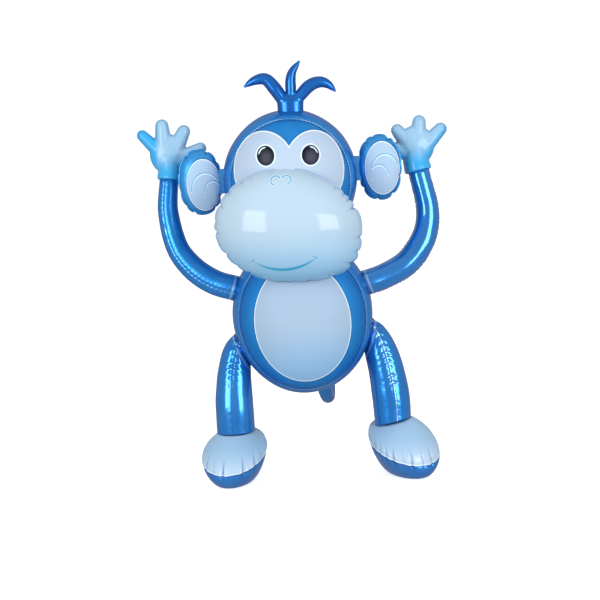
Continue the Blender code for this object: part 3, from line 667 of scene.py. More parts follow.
def tube_shape(stations, seams, settings, folds, seed, fade=None, lean=0.0, tones=(0.5, 0.3)):
    """Shape of a tube through stations of place and radius, with lengthwise puckered welds at the seam angles.

    A level is a share of the way along; its fraction finds the place between two stations. lean turns the
    first ring sideways, and the rings after it less and less. tones are the painted highlight, or below nothing
    the painted shade, of the welds and their folds.
    """
    pitch, depth, reach = folds
    count = len(stations)
    places = [station[0] for station in stations]
    tangents = []
    for index in range(count):
        ahead = places[min(index + 1, count - 1)]
        behind = places[max(index - 1, 0)]
        tangents.append((ahead - behind).normalized())
    side = Vector((0.0, -1.0, 0.0))
    sides = []
    for tangent in tangents:
        side = (side - tangent * side.dot(tangent)).normalized()
        sides.append(side.copy())
    lengths = [0.0]
    for first, second in zip(places, places[1:]):
        lengths.append(lengths[-1] + (second - first).length)

    def shape(turn, level):
        spot = level * (count - 1)
        index = min(int(spot), count - 2)
        share = spot - index
        middle = places[index].lerp(places[index + 1], share)
        radius = stations[index][1] * (1.0 - share) + stations[index + 1][1] * share
        along = lengths[index] * (1.0 - share) + lengths[index + 1] * share
        tangent = tangents[index].lerp(tangents[index + 1], share).normalized()
        front = sides[index].lerp(sides[index + 1], share)
        front = (front - tangent * front.dot(tangent)).normalized()
        cross = tangent.cross(front)
        outward = front * math.cos(turn) + cross * math.sin(turn)
        grow = 0.35 * MM * slack(middle + outward * radius, 22.0 * MM, seed)
        weight = fade(level) if fade else 1.0
        gap = torso_gap(middle + outward * radius)
        # Painted shade where the tube meets the torso, and a painted highlight a little way out from it
        tone = 0.5 * bell(gap - 5.5 * MM, 1.2 * MM) - 0.8 * bell(gap, 2.2 * MM)
        for number, seam in enumerate(seams):
            away = turned_by(turn, seam) * radius
            teeth = 0.75 + 0.25 * math.cos(math.tau * along / LINE_TOOTH_PITCH)
            grow += settings.weld_height * teeth * weld(away, settings.weld_width) * min(1.0, radius / (6.0 * MM))
            grow -= (0.35 + 0.65 * weight) * 0.8 * MM * bell(away, 4.0 * MM)
            chevron = along + 0.45 * abs(away)
            fold = weight * line_puckers(chevron, pitch, away, reach, seed + 3.0 * number)
            grow -= depth * fold
            # Painted highlight along the weld's teeth and on the folds, or painted shade where a tone is below nothing
            tone += tones[0] * (teeth - 0.5) * 2.0 * weld(away, 1.8 * MM) + tones[1] * fold ** 1.5
        reach_out = max(radius + grow, 0.0) if radius > 1e-7 else 0.0
        if lean:
            outward = Matrix.Rotation(lean * max(0.0, 1.0 - 3.0 * level), 3, "Y") @ outward
        return middle + outward * reach_out, tone

    return shape


def torso_gap(place):
    """How far a place is outside the torso, or inside it where negative."""
    local = Matrix.Rotation(-TORSO_LEAN, 3, "Y") @ (place - TORSO_CENTRE)
    height = TORSO_HALF.z if local.z > 0.0 else TORSO_DOWN
    share = Vector((local.x / TORSO_HALF.x, local.y / TORSO_HALF.y, local.z / height)).length
    return local.length * (1.0 - 1.0 / share)


def rounded_ends(stations, start, end):
    """Adds stations that close a tube: flat and slightly soft at a weld, or fully round."""
    result = list(stations)
    turns = [math.radians(angle) for angle in (12.0, 24.0, 36.0, 48.0, 60.0, 70.0, 80.0, 90.0)]
    for at_start, kind in ((True, start), (False, end)):
        place, radius = result[0] if at_start else result[-1]
        neighbour = result[1][0] if at_start else result[-2][0]
        outward = (place - neighbour).normalized()
        depth = radius if kind == "round" else 0.6 * MM
        tail = [(place + outward * depth * math.sin(turn), radius * max(0.0, math.cos(turn))) for turn in turns]
        tail[-1] = (tail[-1][0], 0.0)
        result = tail[::-1] + result if at_start else result + tail
    return result


def share_levels(stations):
    """Levels of a tube, one at each of its stations."""
    count = len(stations) - 1
    return [step / count for step in range(count + 1)]


def dress(piece, nodes, slot, *materials):
    """Gives a piece its films, and lets it stand for its nodes."""
    for material in materials:
        piece.data.materials.append(material)
    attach(piece, "root")
    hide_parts(*nodes)
    return piece


def fill_creases(bm, rounds):
    """Rounds out the sharp hollows where two shapes meet, and leaves what bulges as it is."""
    for step in range(rounds):
        bm.normal_update()
        hollow = []
        for vert in bm.verts:
            pull = Vector()
            for edge in vert.link_edges:
                pull += edge.other_vert(vert).co - vert.co
            if pull.dot(vert.normal) > 0.0:
                hollow.append(vert)
        bmesh.ops.smooth_vert(bm, verts=hollow, factor=0.5, use_axis_x=True, use_axis_y=True, use_axis_z=True)


def voxel_skin(name, bms, voxel, smoothing, filling):
    """One closed skin round several overlapping closed shapes, rounded where they meet."""
    joined = bmesh.new()
    for bm in bms:
        mesh = bpy.data.meshes.new("part")
        bm.to_mesh(mesh)
        joined.from_mesh(mesh)
        bm.free()
        bpy.data.meshes.remove(mesh)
    rough = finished(name + "_rough", joined)
    remesh = rough.modifiers.new("skin", "REMESH")
    remesh.mode = "VOXEL"
    remesh.voxel_size = voxel
    graph = bpy.context.evaluated_depsgraph_get()
    mesh = bpy.data.meshes.new_from_object(rough.evaluated_get(graph))
    bm = bmesh.new()
    bm.from_mesh(mesh)
    bpy.data.meshes.remove(mesh)
    bpy.data.objects.remove(rough)
    fill_creases(bm, filling)
    for step in range(smoothing):
        bmesh.ops.smooth_vert(bm, verts=bm.verts, factor=0.5, use_axis_x=True, use_axis_y=True, use_axis_z=True)
    return bm


def plain_tube(stations, around=24):
    """Closed round tube through stations of place and radius, as a bmesh."""
    levels = share_levels(stations)
    places = [station[0] for station in stations]
    bm = bmesh.new()
    bmesh.ops.create_uvsphere(bm, u_segments=around, v_segments=len(levels) - 1, radius=1.0)
    for vert in bm.verts:
        row = sphere_row(vert, len(levels))
        turn = math.atan2(vert.co.y, vert.co.x)
        tangent = (places[min(row + 1, len(places) - 1)] - places[max(row - 1, 0)]).normalized()
        front = Vector((0.0, -1.0, 0.0))
        front = (front - tangent * front.dot(tangent)).normalized()
        cross = tangent.cross(front)
        vert.co = places[row] + (front * math.cos(turn) + cross * math.sin(turn)) * stations[row][1]
    bmesh.ops.recalc_face_normals(bm, faces=bm.faces)
    return bm


def plain_egg(centre, half):
    bm = bmesh.new()
    bmesh.ops.create_uvsphere(bm, u_segments=32, v_segments=20, radius=1.0)
    bmesh.ops.scale(bm, vec=half, verts=bm.verts)
    bmesh.ops.translate(bm, vec=centre, verts=bm.verts)
    return bm


def raise_flat_weld(bm, middle_y, width=1.6 * MM, height=1.0 * MM):
    """Draws the skin out into a thin weld where it crosses the plane in which its two films meet, and paints a shade
    line beside it.
    """
    bm.normal_update()
    tones = bm.verts.layers.float.new("painted_weld_tone")
    for vert in bm.verts:
        away = vert.co.y - middle_y
        flat = Vector((vert.normal.x, 0.0, vert.normal.z))
        if abs(away) < 3.0 * width and flat.length > 0.5:
            vert.co += flat.normalized() * height * weld(away, width) * flat.length
        # Painted shade in a line beside the weld
        if flat.length > 0.5:
            vert[tones] = -0.45 * bell(away + 2.2 * width, width) * flat.length
    return bm


def round_chamber(context, node, centre, half, down, lean, weld_level, puckers, seed, front_name):
    """Head or torso, whose front film starts at a ring weld; returns that film's material."""
    settings = context.scene.monkey_film
    colours = context.scene.monkey_colours
    levels = clustered(-math.pi / 2, math.pi / 2, math.radians(2.2), (weld_level,), math.radians(7.0))
    shape = seamed_egg(settings, half, down, weld_level, puckers, seed)
    piece = blown(node + "_skin", 2 * settings.around, levels, shape, placed(centre, lean=lean),
                  lambda level: level > weld_level)
    # Pearlised vinyl: broad soft glints on a deep blue. The printed front is duller, so it mirrors no window
    back, front = (pearl_film("pearlised_vinyl_" + name, colours, colours.pearl_round, colours.pearl_light, *gloss)
                   for name, gloss in ((node, PLAIN_GLOSS), (front_name, PRINT_GLOSS)))
    dress(piece, [node], "blue_film", front, back)
    return front


class MONKEY_OT_torso(bpy.types.Operator):
    """Egg-shaped body with its belly print"""
    bl_idname = "monkey.torso"
    bl_label = "Torso"

    def execute(self, context):
        front = round_chamber(context, "torso", TORSO_CENTRE, TORSO_HALF, TORSO_DOWN, TORSO_LEAN, TORSO_WELD,
                              TORSO_PUCKERS, 3.0, "belly_print")
        self.print_belly(front, context.scene.monkey_colours)
        return {"FINISHED"}

    def print_belly(self, material, colours):
        """Pale oval on the front film, whose blue deepens from the print towards the weld."""
        tree = material.node_tree
        shader = tree.nodes["Principled BSDF"]
        across, up = printed_place(tree)
        oval = oval_field(tree, across, up, (-0.5, -3.0), (69.0, 87.5))
        deepening = add(tree, "MapRange", {"From Min": 4.0, "From Max": 24.0, "To Max": 0.5},
                        {"Value": oval})
        film_colour = shader.inputs["Base Color"].links[0].from_socket
        deepened = add(tree, "Mix", {"data_type": "RGBA", 7: colours.pearl_deep},
                       {0: deepening.outputs["Result"], 6: film_colour})
        tree.links.new(deepened.outputs[2], shader.inputs["Base Color"])
        ground = pale_ground(tree, up, colours.belly, colours.belly_deep, -88.0, 14.0)
        body = print_on_pearl(tree, shader, ground, oval, colours, 1.1)
        tree.links.new(body, shader.inputs["Base Color"])


class MONKEY_OT_head(bpy.types.Operator):
    """Round head with the printed face"""
    bl_idname = "monkey.head"
    bl_label = "Head"

    def execute(self, context):
        front = round_chamber(context, "head", HEAD_CENTRE, HEAD_HALF, HEAD_HALF.z, 0.0, HEAD_WELD,
                              HEAD_PUCKERS, 11.0, "face_print")
        self.print_face(front, context.scene.monkey_colours)
        return {"FINISHED"}

    def print_face(self, material, colours):
        """Two-lobed pale mask, eyes and brow lines, printed on the front film."""
        tree = material.node_tree
        shader = tree.nodes["Principled BSDF"]
        across, up = printed_place(tree)
        right_lobe = oval_field(tree, across, up, (-35.0, 18.0), (44.5, 55.0))
        left_lobe = oval_field(tree, across, up, (34.0, 16.5), (43.0, 54.5))
        mask = add(tree, "Math", {"operation": "MINIMUM"}, {0: right_lobe, 1: left_lobe})
        body = print_on_pearl(tree, shader, colours.face, mask.outputs[0], colours, 1.2)
        for centre in ((-36.5, 41.0), (36.5, 39.0)):
            brow = arc_field(tree, across, up, centre, (22.3, 22.3), 90.0, 88.0, 2.0)
            body = inked(tree, body, colours.brow, brow, 0.0, 0.9)
        for centre, gleam in (((-32.9, 39.6), 128.0), ((30.0, 38.0), 52.0)):
            eye = oval_field(tree, across, up, centre, (12.4, 13.7))
            body = inked(tree, body, colours.border, eye, 1.7, 0.4)
            body = inked(tree, body, colours.eye, eye, 0.0, 0.4)
            glow = oval_field(tree, across, up, (centre[0] + 1.0, centre[1] - 2.5), (7.6, 8.6))
            body = inked(tree, body, colours.eye_glow, glow, 0.0, 4.0)
            spark = arc_field(tree, across, up, centre, (9.6, 10.8), gleam, 38.0, 1.5)
            body = inked(tree, body, colours.border, spark, 0.0, 0.5)
        tree.links.new(body, shader.inputs["Base Color"])


class MONKEY_OT_muzzle(bpy.types.Operator):
    """Pale pillow with a scalloped rim, a printed nose and a smile"""
    bl_idname = "monkey.muzzle"
    bl_label = "Muzzle"

    def execute(self, context):
        settings = context.scene.monkey_film
        colours = context.scene.monkey_colours
        levels = clustered(-math.pi / 2, math.pi / 2, math.radians(2.0), (0.0,), math.radians(9.0))
        shape = pillow_shape(settings, MUZZLE_HALF, MUZZLE_BACK, MUZZLE_FULLNESS, MUZZLE_NICKS, 3.4 * MM, 21.0)
        muzzle = blown("muzzle_skin", 2 * settings.around, levels, shape,
                       placed(MUZZLE_CENTRE, MUZZLE_TURN, MUZZLE_PITCH), lambda level: level > 0.0)
        front = self.printed_film(colours)
        # Milky vinyl without print: a plain, deeper blue that shows behind the scallops
        back, tree, shader = film("milky_vinyl_muzzle_back", colours.pale_deep, 0.16, 1.4)
        stretched_surface(tree, shader, 0.14, 0.24, 0.1)
        dress(muzzle, ["muzzle"], "pale_film", front, back)
        return {"FINISHED"}

    def printed_film(self, colours):
        """Milky blue vinyl: even and smooth, so the windows of the studio show on it as faint clear panes."""
        material, tree, shader = film("milky_vinyl_muzzle", colours.pale, 0.1, 1.34)
        stretched_surface(tree, shader, 0.07, 0.12, 0.03)
        across, up = printed_place(tree)
        body = pale_ground(tree, up, colours.pale, colours.pale_deep, -82.0, 12.0)
        for nostril in (((-10.6, 68.7), (6.8, 5.2), 140.0), ((3.7, 69.0), (6.9, 4.9), 40.0)):
            for spread, width, ink, blur in ((117.0, 2.2, colours.border, 1.0), (115.0, 1.5, colours.ink, 0.4)):
                body = inked(tree, body, ink, arc_field(tree, across, up, *nostril, spread, width), blur=blur)
        low_edge = oval_field(tree, across, up, (-4.4, 8.6), (64.6, 64.6))
        high_edge = oval_field(tree, across, up, (-5.6, 30.1), (81.7, 81.7))
        above = add(tree, "Math", {"operation": "MULTIPLY", 1: -1.0}, {0: high_edge})
        smile = add(tree, "Math", {"operation": "MAXIMUM"}, {0: low_edge, 1: above.outputs[0]})
        body = inked(tree, body, colours.ink, smile.outputs[0], 0.0, 0.5)
        for centre, middle in (((-42.0, -46.0), 130.0), ((36.9, -43.6), 61.0)):
            tick = arc_field(tree, across, up, centre, (8.0, 8.0), middle, 23.0, 1.3)
            body = inked(tree, body, colours.ink, tick, 0.0, 0.4)
        # Painted shade along the rim's weld and in the creases at the nicks
        toned = painted_weld_light_and_shade(tree, body, colours.pale_crease, colours.border)
        tree.links.new(toned, shader.inputs["Base Color"])
        return material


class MONKEY_OT_ears(bpy.types.Operator):
    """Scalloped pillow ears with their tabs"""
    bl_idname = "monkey.ears"
    bl_label = "Ears"

    def execute(self, context):
        settings = context.scene.monkey_film
        colours = context.scene.monkey_colours
        levels = clustered(-math.pi / 2, math.pi / 2, math.radians(4.0), (0.0,), math.radians(16.0))
        for side, outward in SIDES.items():
            reach = HEAD_HALF.x + EAR_GAP[side] + EAR_HALF.x
            middle = HEAD_CENTRE + Vector((outward * reach, 0.0, EAR_RISE[side]))
            shape = pillow_shape(settings, EAR_HALF, EAR_HALF.y, EAR_FULLNESS, EAR_NICKS[side], 5.5 * MM,
                                 31.0 + outward)
            ear = blown("ear_" + side + "_skin", settings.around, levels, shape, placed(middle, lean=EAR_LEAN[side]),
                        lambda level: level > 0.0)
            front = self.printed_film(side, outward, colours)
            # Pearlised vinyl in a lighter blue: glints that run along the crimped rim
            back = pearl_film("pearlised_vinyl_ear_back_" + side, colours, colours.ear, colours.pearl_light)
            dress(ear, ["ear_" + side], "ear_film", front, back)
            self.add_tab(side, outward, middle, back)
        return {"FINISHED"}

    def add_tab(self, side, outward, middle, material):
        """Flat welded film between the ear's rim and the head."""
        bm = bmesh.new()
        bmesh.ops.create_cube(bm, size=2.0)
        bmesh.ops.scale(bm, vec=EAR_TAB_HALF, verts=bm.verts)
        bmesh.ops.bevel(bm, geom=bm.edges[:], offset=1.2 * MM, segments=3, affect="EDGES", profile=0.5, material=-1)
        inner = HEAD_CENTRE.x + outward * (HEAD_HALF.x + 0.5 * EAR_GAP[side])
        bmesh.ops.translate(bm, vec=(inner, middle.y, middle.z), verts=bm.verts)
        tab = finished("ear_tab_" + side + "_skin", bm)
        tab.data.materials.append(material)
        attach(tab, "root")

    def printed_film(self, side, outward, colours):
        """Blue film with a pale oval and two curls of ink, printed on the ear's front."""
        material = pearl_film("pearlised_vinyl_ear_print_" + side, colours, colours.ear, colours.pearl_light,
                              *EAR_PRINT_GLOSS)
        tree = material.node_tree
        shader = tree.nodes["Principled BSDF"]
        across, up = printed_place(tree)
        centre, half, strokes = EAR_PRINT[side]
        oval = oval_field(tree, across, up, centre, half)
        body = print_on_pearl(tree, shader, colours.ear_pale, oval, colours, 0.8)
        for spot, size, middle, spread in strokes:
            gleam = arc_field(tree, across, up, (spot[0], spot[1] - 1.3), size, middle, spread, 1.6)
            body = inked(tree, body, colours.border, gleam, 0.0, 0.6)
            stroke = arc_field(tree, across, up, spot, size, middle, spread, 1.1)
            body = inked(tree, body, colours.ink, stroke, 0.0, 0.5)
        tree.links.new(body, shader.inputs["Base Color"])
        return material


class MONKEY_OT_tuft(bpy.types.Operator):
    """Three hollow curls on one stem"""
    bl_idname = "monkey.tuft"
    bl_label = "Tuft"

    def execute(self, context):
        colours = context.scene.monkey_colours
        shapes = []
        for name, path in TUFT_CURLS.items():
            points = smooth_path([TUFT_TOP + Vector((across, 0.0, up)) * MM for across, up in path], 8)
            stations = []
            for number, point in enumerate(points):
                share = number / (len(points) - 1)
                taper = min(1.0, 0.82 + 0.5 * share) * max(0.0, 1.0 - share ** 3) ** 0.7
                stations.append((point, TUFT_RADII[name] * max(taper, 0.13)))
            shapes.append(plain_tube(rounded_ends(stations, "round", "round")))
        middle = TUFT_TOP + Vector((5.0, 0.0, 0.0)) * MM
        stem = [(middle + Vector((0.0, 0.0, height)) * MM, radius * MM)
                for height, radius in ((-12.0, 17.8), (0.0, 17.6), (7.0, 17.8), (12.0, 18.2), (16.0, 17.0),
                                       (19.0, 14.0), (21.5, 8.0))]
        bm = plain_tube(rounded_ends(stem, "flat", "flat"), 48)
        bmesh.ops.scale(bm, vec=(1.0, 0.62, 1.0), space=Matrix.Translation(-middle), verts=bm.verts)
        shapes.append(bm)
        skin = voxel_skin("tuft_skin", shapes, voxel=0.8 * MM, smoothing=2, filling=60)
        raise_flat_weld(skin, TUFT_TOP.y)
        tuft = finished("tuft_skin", skin)
        # Deeper pearl blue: thin curls that glint along their edges
        dress(tuft, ["tuft"], "blue_film",
              pearl_film("pearlised_vinyl_tuft", colours, colours.pearl_deep, colours.pearl, *TUFT_GLOSS))
        return {"FINISHED"}


def arm_stations(side, steps):
    """Places and radii of an arm from inside the torso to its wrist weld, and the way it points there."""
    path = [figure(*point) for point in ARM_PATHS[side]]
    stations = smooth_stations(path, [radius * MM for radius in ARM_RADII[side]], steps)
    coarse = smooth_path(path, 3)
    direction = (coarse[-1] - coarse[-2]).normalized()
    stations.append((stations[-1][0] + direction * WRIST_END, stations[-1][1]))
    return stations, direction


class MONKEY_OT_arms(bpy.types.Operator):
    """Raised arm tubes"""
    bl_idname = "monkey.arms"
    bl_label = "Arms"

    def execute(self, context):
        settings = context.scene.monkey_film
        colours = context.scene.monkey_colours
        for side, outward in SIDES.items():
            stations = rounded_ends(arm_stations(side, 24)[0], "flat", "flat")
            seam = math.radians(ARM_SEAM[side])
            shape = tube_shape(stations, (seam, seam + math.pi), settings, ARM_FOLDS, 41.0 + outward,
                               tones=ARM_TONES)
            arm = blown("arm_" + side + "_skin", 128, share_levels(stations), shape)
            # Pearlised vinyl: long wet streaks, sharp on the left arm and dull on the right one
            dress(arm, ["arm_" + side], "blue_film",
                  pearl_film("pearlised_vinyl_arm_" + side, colours, colours.pearl, colours.pearl_light,
                             *ARM_GLOSS[side]))
        return {"FINISHED"}


class MONKEY_OT_hands(bpy.types.Operator):
    """Open hands"""
    bl_idname = "monkey.hands"
    bl_label = "Hands"

    def execute(self, context):
        colours = context.scene.monkey_colours
        for side in SIDES:
            stations, direction = arm_stations(side, 3)
            start = stations[-1][0] + direction * 0.3 * MM
            radius = stations[-1][1]
            middle = start + Vector((PALM_ASIDE[side], PALM_BACK, PALM_RISE))
            cuff = CUFF_FLARE * radius
            wrist = [(start, 1.04 * cuff), (start + direction * 2.0 * MM, 1.08 * cuff),
                     (start + direction * 15.0 * MM, cuff), (middle, 0.8 * cuff)]
            shapes = [plain_tube(rounded_ends(wrist, "flat", "round"), 32), plain_egg(middle, PALM_HALF)]
            for base, tip, width in DIGITS[side]:
                root = Vector((middle.x, middle.y, start.z)) + Vector((base[0], 0.0, base[1])) * MM
                end = Vector((middle.x, middle.y, start.z)) + Vector((tip[0], 0.0, tip[1])) * MM
                line = [(root.lerp(end, share), width * MM * (DIGIT_FLARE + (1.0 - DIGIT_FLARE) * share))
                        for share in (0.0, 0.25, 0.5, 0.75, 1.0)]
                shapes.append(plain_tube(rounded_ends(line, "round", "round")))
            skin = voxel_skin("hand_" + side + "_skin", shapes, voxel=1.0 * MM, smoothing=3, filling=24)
            raise_flat_weld(skin, middle.y)
            hand = finished("hand_" + side + "_skin", skin)
            dress(hand, ["hand_" + side], "hand_film", self.fading_film(side, start, middle, colours))
        return {"FINISHED"}

    def fading_film(self, side, start, middle, colours):
        """Milky film whose ink fades from cyan at the wrist to pale fingertips; its back film is cyan."""
        material, tree, shader = film("milky_vinyl_hand_" + side, colours.hand_tip, 0.24, 1.4)
        place = stretched_surface(tree, shader, 0.2, 0.32, 0.15)
        split = add(tree, "SeparateXYZ", links={"Vector": place.outputs["Object"]})
        share = add(tree, "MapRange", {"interpolation_type": "SMOOTHSTEP", "To Min": 1.0, "To Max": 0.0,
                                      "From Min": start.z + WRIST_FADE[0], "From Max": start.z + WRIST_FADE[1]},
                    {"Value": split.outputs["Z"]})
        lean = add(tree, "VectorMath", {"operation": "DOT_PRODUCT", 1: HAND_FADE[side][0]},
                   {0: place.outputs["Object"]})
        offset = Vector(HAND_FADE[side][0]).dot(Vector((start.x, 0.0, start.z)))
        low, high = HAND_FADE[side][1]
        outer = add(tree, "MapRange", {"interpolation_type": "SMOOTHSTEP", "From Min": offset + low * MM,
                                                 "From Max": offset + high * MM}, {"Value": lean.outputs["Value"]})
        cyan = add(tree, "Math", {"operation": "MAXIMUM"},
                   {0: share.outputs["Result"], 1: outer.outputs["Result"]})
        body = add(tree, "Mix", {"data_type": "RGBA", 6: colours.hand_tip, 7: colours.hand_wrist},
                   {0: cyan.outputs[0]})
        behind = add(tree, "MapRange", {"From Min": middle.y - 0.5 * MM, "From Max": middle.y + 0.5 * MM},
                     {"Value": split.outputs["Y"]})
        both = add(tree, "Mix", {"data_type": "RGBA", 7: colours.hand_wrist},
                   {0: behind.outputs["Result"], 6: body.outputs[2]})
        # Painted shade beside the weld round the hand's edge
        toned = painted_weld_light_and_shade(tree, both.outputs[2], colours.pale_crease, colours.border)
        tree.links.new(toned, shader.inputs["Base Color"])
        return material


class MONKEY_OT_legs(bpy.types.Operator):
    """Short legs with puckered seams"""
    bl_idname = "monkey.legs"
    bl_label = "Legs"

    def execute(self, context):
        settings = context.scene.monkey_film
        colours = context.scene.monkey_colours
        for side, outward in SIDES.items():
            places = [ANKLE[side] + Vector(row[:3]) * MM for row in LEG_STATIONS[side]]
            stations = smooth_stations(places, [row[3] * MM for row in LEG_STATIONS[side]], 30)
            stations = rounded_ends(stations, "flat", "round")
            front = math.radians(LEG_SEAM[side])
            start, full = LEG_PUCKERS[side]
            shape = tube_shape(stations, (front, front + math.pi), settings, LEG_FOLDS, 51.0 + outward,
                               lambda level: 0.1 + 0.9 * max(0.0, min(1.0, (level - start) / (full - start))),
                               ANKLE_LEAN[side], LEG_TONES[side])
            leg = blown("leg_" + side + "_skin", 192, share_levels(stations), shape)
            # Pearlised vinyl: streaks that the puckers at the top break up into sparks; the seam and its folds carry
            # painted glints on the left leg and painted shade on the right one
            dress(leg, ["leg_" + side], "blue_film",
                  pearl_film("pearlised_vinyl_leg_" + side, colours, colours.pearl, colours.pearl_light))
        return {"FINISHED"}


def foot_shape(side, ankle_radius):
    """Shape of a foot by level: from 0 at the ankle to 1 at the welded rim and 2 under the sole."""
    heading = Matrix.Rotation(FOOT_HEADING[side], 3, "Z")
    aside = heading.inverted() @ Vector((FOOT_ASIDE, 0.0, 0.0))
    ankle_height = ANKLE[side].z - CAD_BOX[0].z
    rim_centre = aside + Vector((0.0, -FOOT_FORWARD, FOOT_RIM_HEIGHT - ankle_height))
    sole_aside = heading.inverted() @ Vector((SOLE_ASIDE[side], 0.0, 0.0))
    sole_centre = aside + sole_aside + Vector((0.0, -FOOT_FORWARD - SOLE_FORWARD, -ankle_height))
    rim_width = FOOT_HALF_WIDTH[side]

    def shape(turn, level):
        spread = math.sin(max(0.0, min(1.0, level)) * math.pi / 2) ** FOOT_SPREAD[side]
        lean = heading.inverted() @ Matrix.Rotation(ANKLE_LEAN[side] * (1.0 - spread), 3, "Y") @ heading
        if level <= 1.0:
            fall = 1.0 - math.cos(max(0.0, level) * math.pi / 2)
            centre = Vector((rim_centre.x * spread, rim_centre.y * spread, rim_centre.z * fall ** 0.8))
            shrink = max(0.0, min(1.0, 1.0 + level / 0.1))
            width = (ankle_radius + (rim_width - ankle_radius) * spread) * shrink
            length = (ankle_radius + (FOOT_HALF_LENGTH - ankle_radius) * spread) * shrink
            tilt = FOOT_TILT * spread
        elif level <= 2.0:
            fall = math.sin((level - 1.0) * math.pi / 2)
            narrow = (1.0 - math.cos((level - 1.0) * math.pi / 2)) ** SOLE_TUCK
            centre = rim_centre.lerp(sole_centre, fall)
            width = rim_width + (SOLE_HALF_WIDTH - rim_width) * narrow
            length = FOOT_HALF_LENGTH + (SOLE_HALF_LENGTH - FOOT_HALF_LENGTH) * narrow
            tilt = FOOT_TILT * (1.0 - fall)
        else:
            centre = sole_centre
            width = SOLE_HALF_WIDTH * (3.0 - level)
            length = SOLE_HALF_LENGTH * (3.0 - level)
            tilt = 0.0
        away = (level - 1.0) * 44.0 * MM
        fold = 0.0
        bulge = 0.0
        for degrees, strength in FOOT_CREASES[side]:
            apart = abs(turned_by(turn, math.radians(degrees))) * FOOT_REACH
            fold = max(fold, strength * math.exp(-(apart / (1.2 * MM)) ** 1.5))
            bulge = max(bulge, strength * bell(apart - 6.0 * MM, 3.5 * MM))
        run = max(0.0, 1.0 - abs(away) / ((19.0 if away < 0.0 else 12.0) * MM))
        ridge = weld(away, 1.6 * MM)
        grow = 0.9 * MM * ridge - 0.8 * MM * bell(away, 5.0 * MM)
        grow += run * (0.7 * MM * bulge - 2.8 * MM * fold * (1.0 - 0.6 * ridge))
        across = (width + grow) * math.cos(turn)
        along = (length + grow) * math.sin(turn)
        # Painted highlight on the weld, and painted shade in the creases across it and in a line just below it
        tone = 0.6 * weld(away + 0.4 * MM, 1.2 * MM) - 0.9 * fold * min(1.0, 1.6 * run)
        tone -= 0.6 * bell(away - 1.8 * MM, 1.0 * MM)
        return centre + lean @ Matrix.Rotation(tilt, 3, "X") @ Vector((across, along, 0.0)), tone

    return shape


class MONKEY_OT_feet(bpy.types.Operator):
    """Pale uppers welded to blue soles"""
    bl_idname = "monkey.feet"
    bl_label = "Feet"

    def execute(self, context):
        settings = context.scene.monkey_film
        colours = context.scene.monkey_colours
        upper = self.upper_film(colours)
        # Pearlised vinyl: a dark even blue with small glints at the creases, and painted shade in the creases
        # themselves
        sole = pearl_film("pearlised_vinyl_sole", colours, colours.sole, colours.pearl_light, *SOLE_GLOSS)
        levels = [-0.1, -0.06, -0.02]
        levels += clustered(0.0, 2.0, 0.05, (1.0,), 0.18) + [2.02, 2.3, 2.6, 3.0]
        for side in SIDES:
            shape = foot_shape(side, LEG_STATIONS[side][0][3] * MM)
            foot = blown("foot_" + side + "_skin", 384, levels, shape,
                         placed(ANKLE[side], turn=FOOT_HEADING[side]), lambda level: level > 1.0)
            dress(foot, ["foot_" + side], "foot_film", upper, sole)
        return {"FINISHED"}

    def upper_film(self, colours):
        """Milky vinyl over the foot, paler towards the toes and with shaded creases at the weld."""
        material, tree, shader = film("milky_vinyl_foot_upper", colours.upper, 0.22, 1.42)
        stretched_surface(tree, shader, 0.18, 0.28, 0.12)
        across, up = printed_place(tree)
        body = pale_ground(tree, up, colours.upper, colours.upper_toe, -52.0, -14.0)
        # Painted highlight along the weld in the border colour, and painted shade in the creases
        toned = painted_weld_light_and_shade(tree, body, colours.pale_crease, colours.border)
        tree.links.new(toned, shader.inputs["Base Color"])
        return material


class MONKEY_OT_tail(bpy.types.Operator):
    """Short tail that bends up behind"""
    bl_idname = "monkey.tail"
    bl_label = "Tail"

    def execute(self, context):
        settings = context.scene.monkey_film
        colours = context.scene.monkey_colours
        points = smooth_path([figure(*point) for point in TAIL_PATH], 20)
        stations = rounded_ends([(point, TAIL_RADIUS) for point in points], "flat", "round")
        # The default tones paint highlights along both welds and on the folds across them
        shape = tube_shape(stations, (math.pi / 2, -math.pi / 2), settings, TAIL_FOLDS, 71.0)
        tail = blown("tail_skin", 80, share_levels(stations), shape)
        # Pearlised vinyl: the same blue, with one thin streak round the bend
        dress(tail, ["tail"], "blue_film",
              pearl_film("pearlised_vinyl_tail", colours, colours.pearl, colours.pearl_light))
        return {"FINISHED"}


class MONKEY_OT_valve(bpy.types.Operator):
    """Inflation valve on the back"""
    bl_idname = "monkey.valve"
    bl_label = "Valve"

    def execute(self, context):
        colours = context.scene.monkey_colours
        bm = spun([(radius * 0.001, height * 0.001) for radius, height in VALVE_OUTLINE], 64, 0.00002)
        depth = TORSO_HALF.y * math.sqrt(1.0 - VALVE_RISE ** 2)
        place = placed(TORSO_CENTRE, lean=TORSO_LEAN) @ placed(Vector((0.0, depth, VALVE_RISE * TORSO_HALF.z)),
                                                               pitch=-math.pi / 2)
        bmesh.ops.transform(bm, matrix=place, verts=bm.verts)
        valve = finished("valve_skin", bm)
        # Soft clear vinyl: dull and whitish against the blue back
        material, tree, shader = film("soft_clear_vinyl", colours.valve, 0.3)
        stretched_surface(tree, shader, 0.25, 0.4, 0.05)
        dress(valve, ["valve"], "clear_vinyl", material)
        return {"FINISHED"}


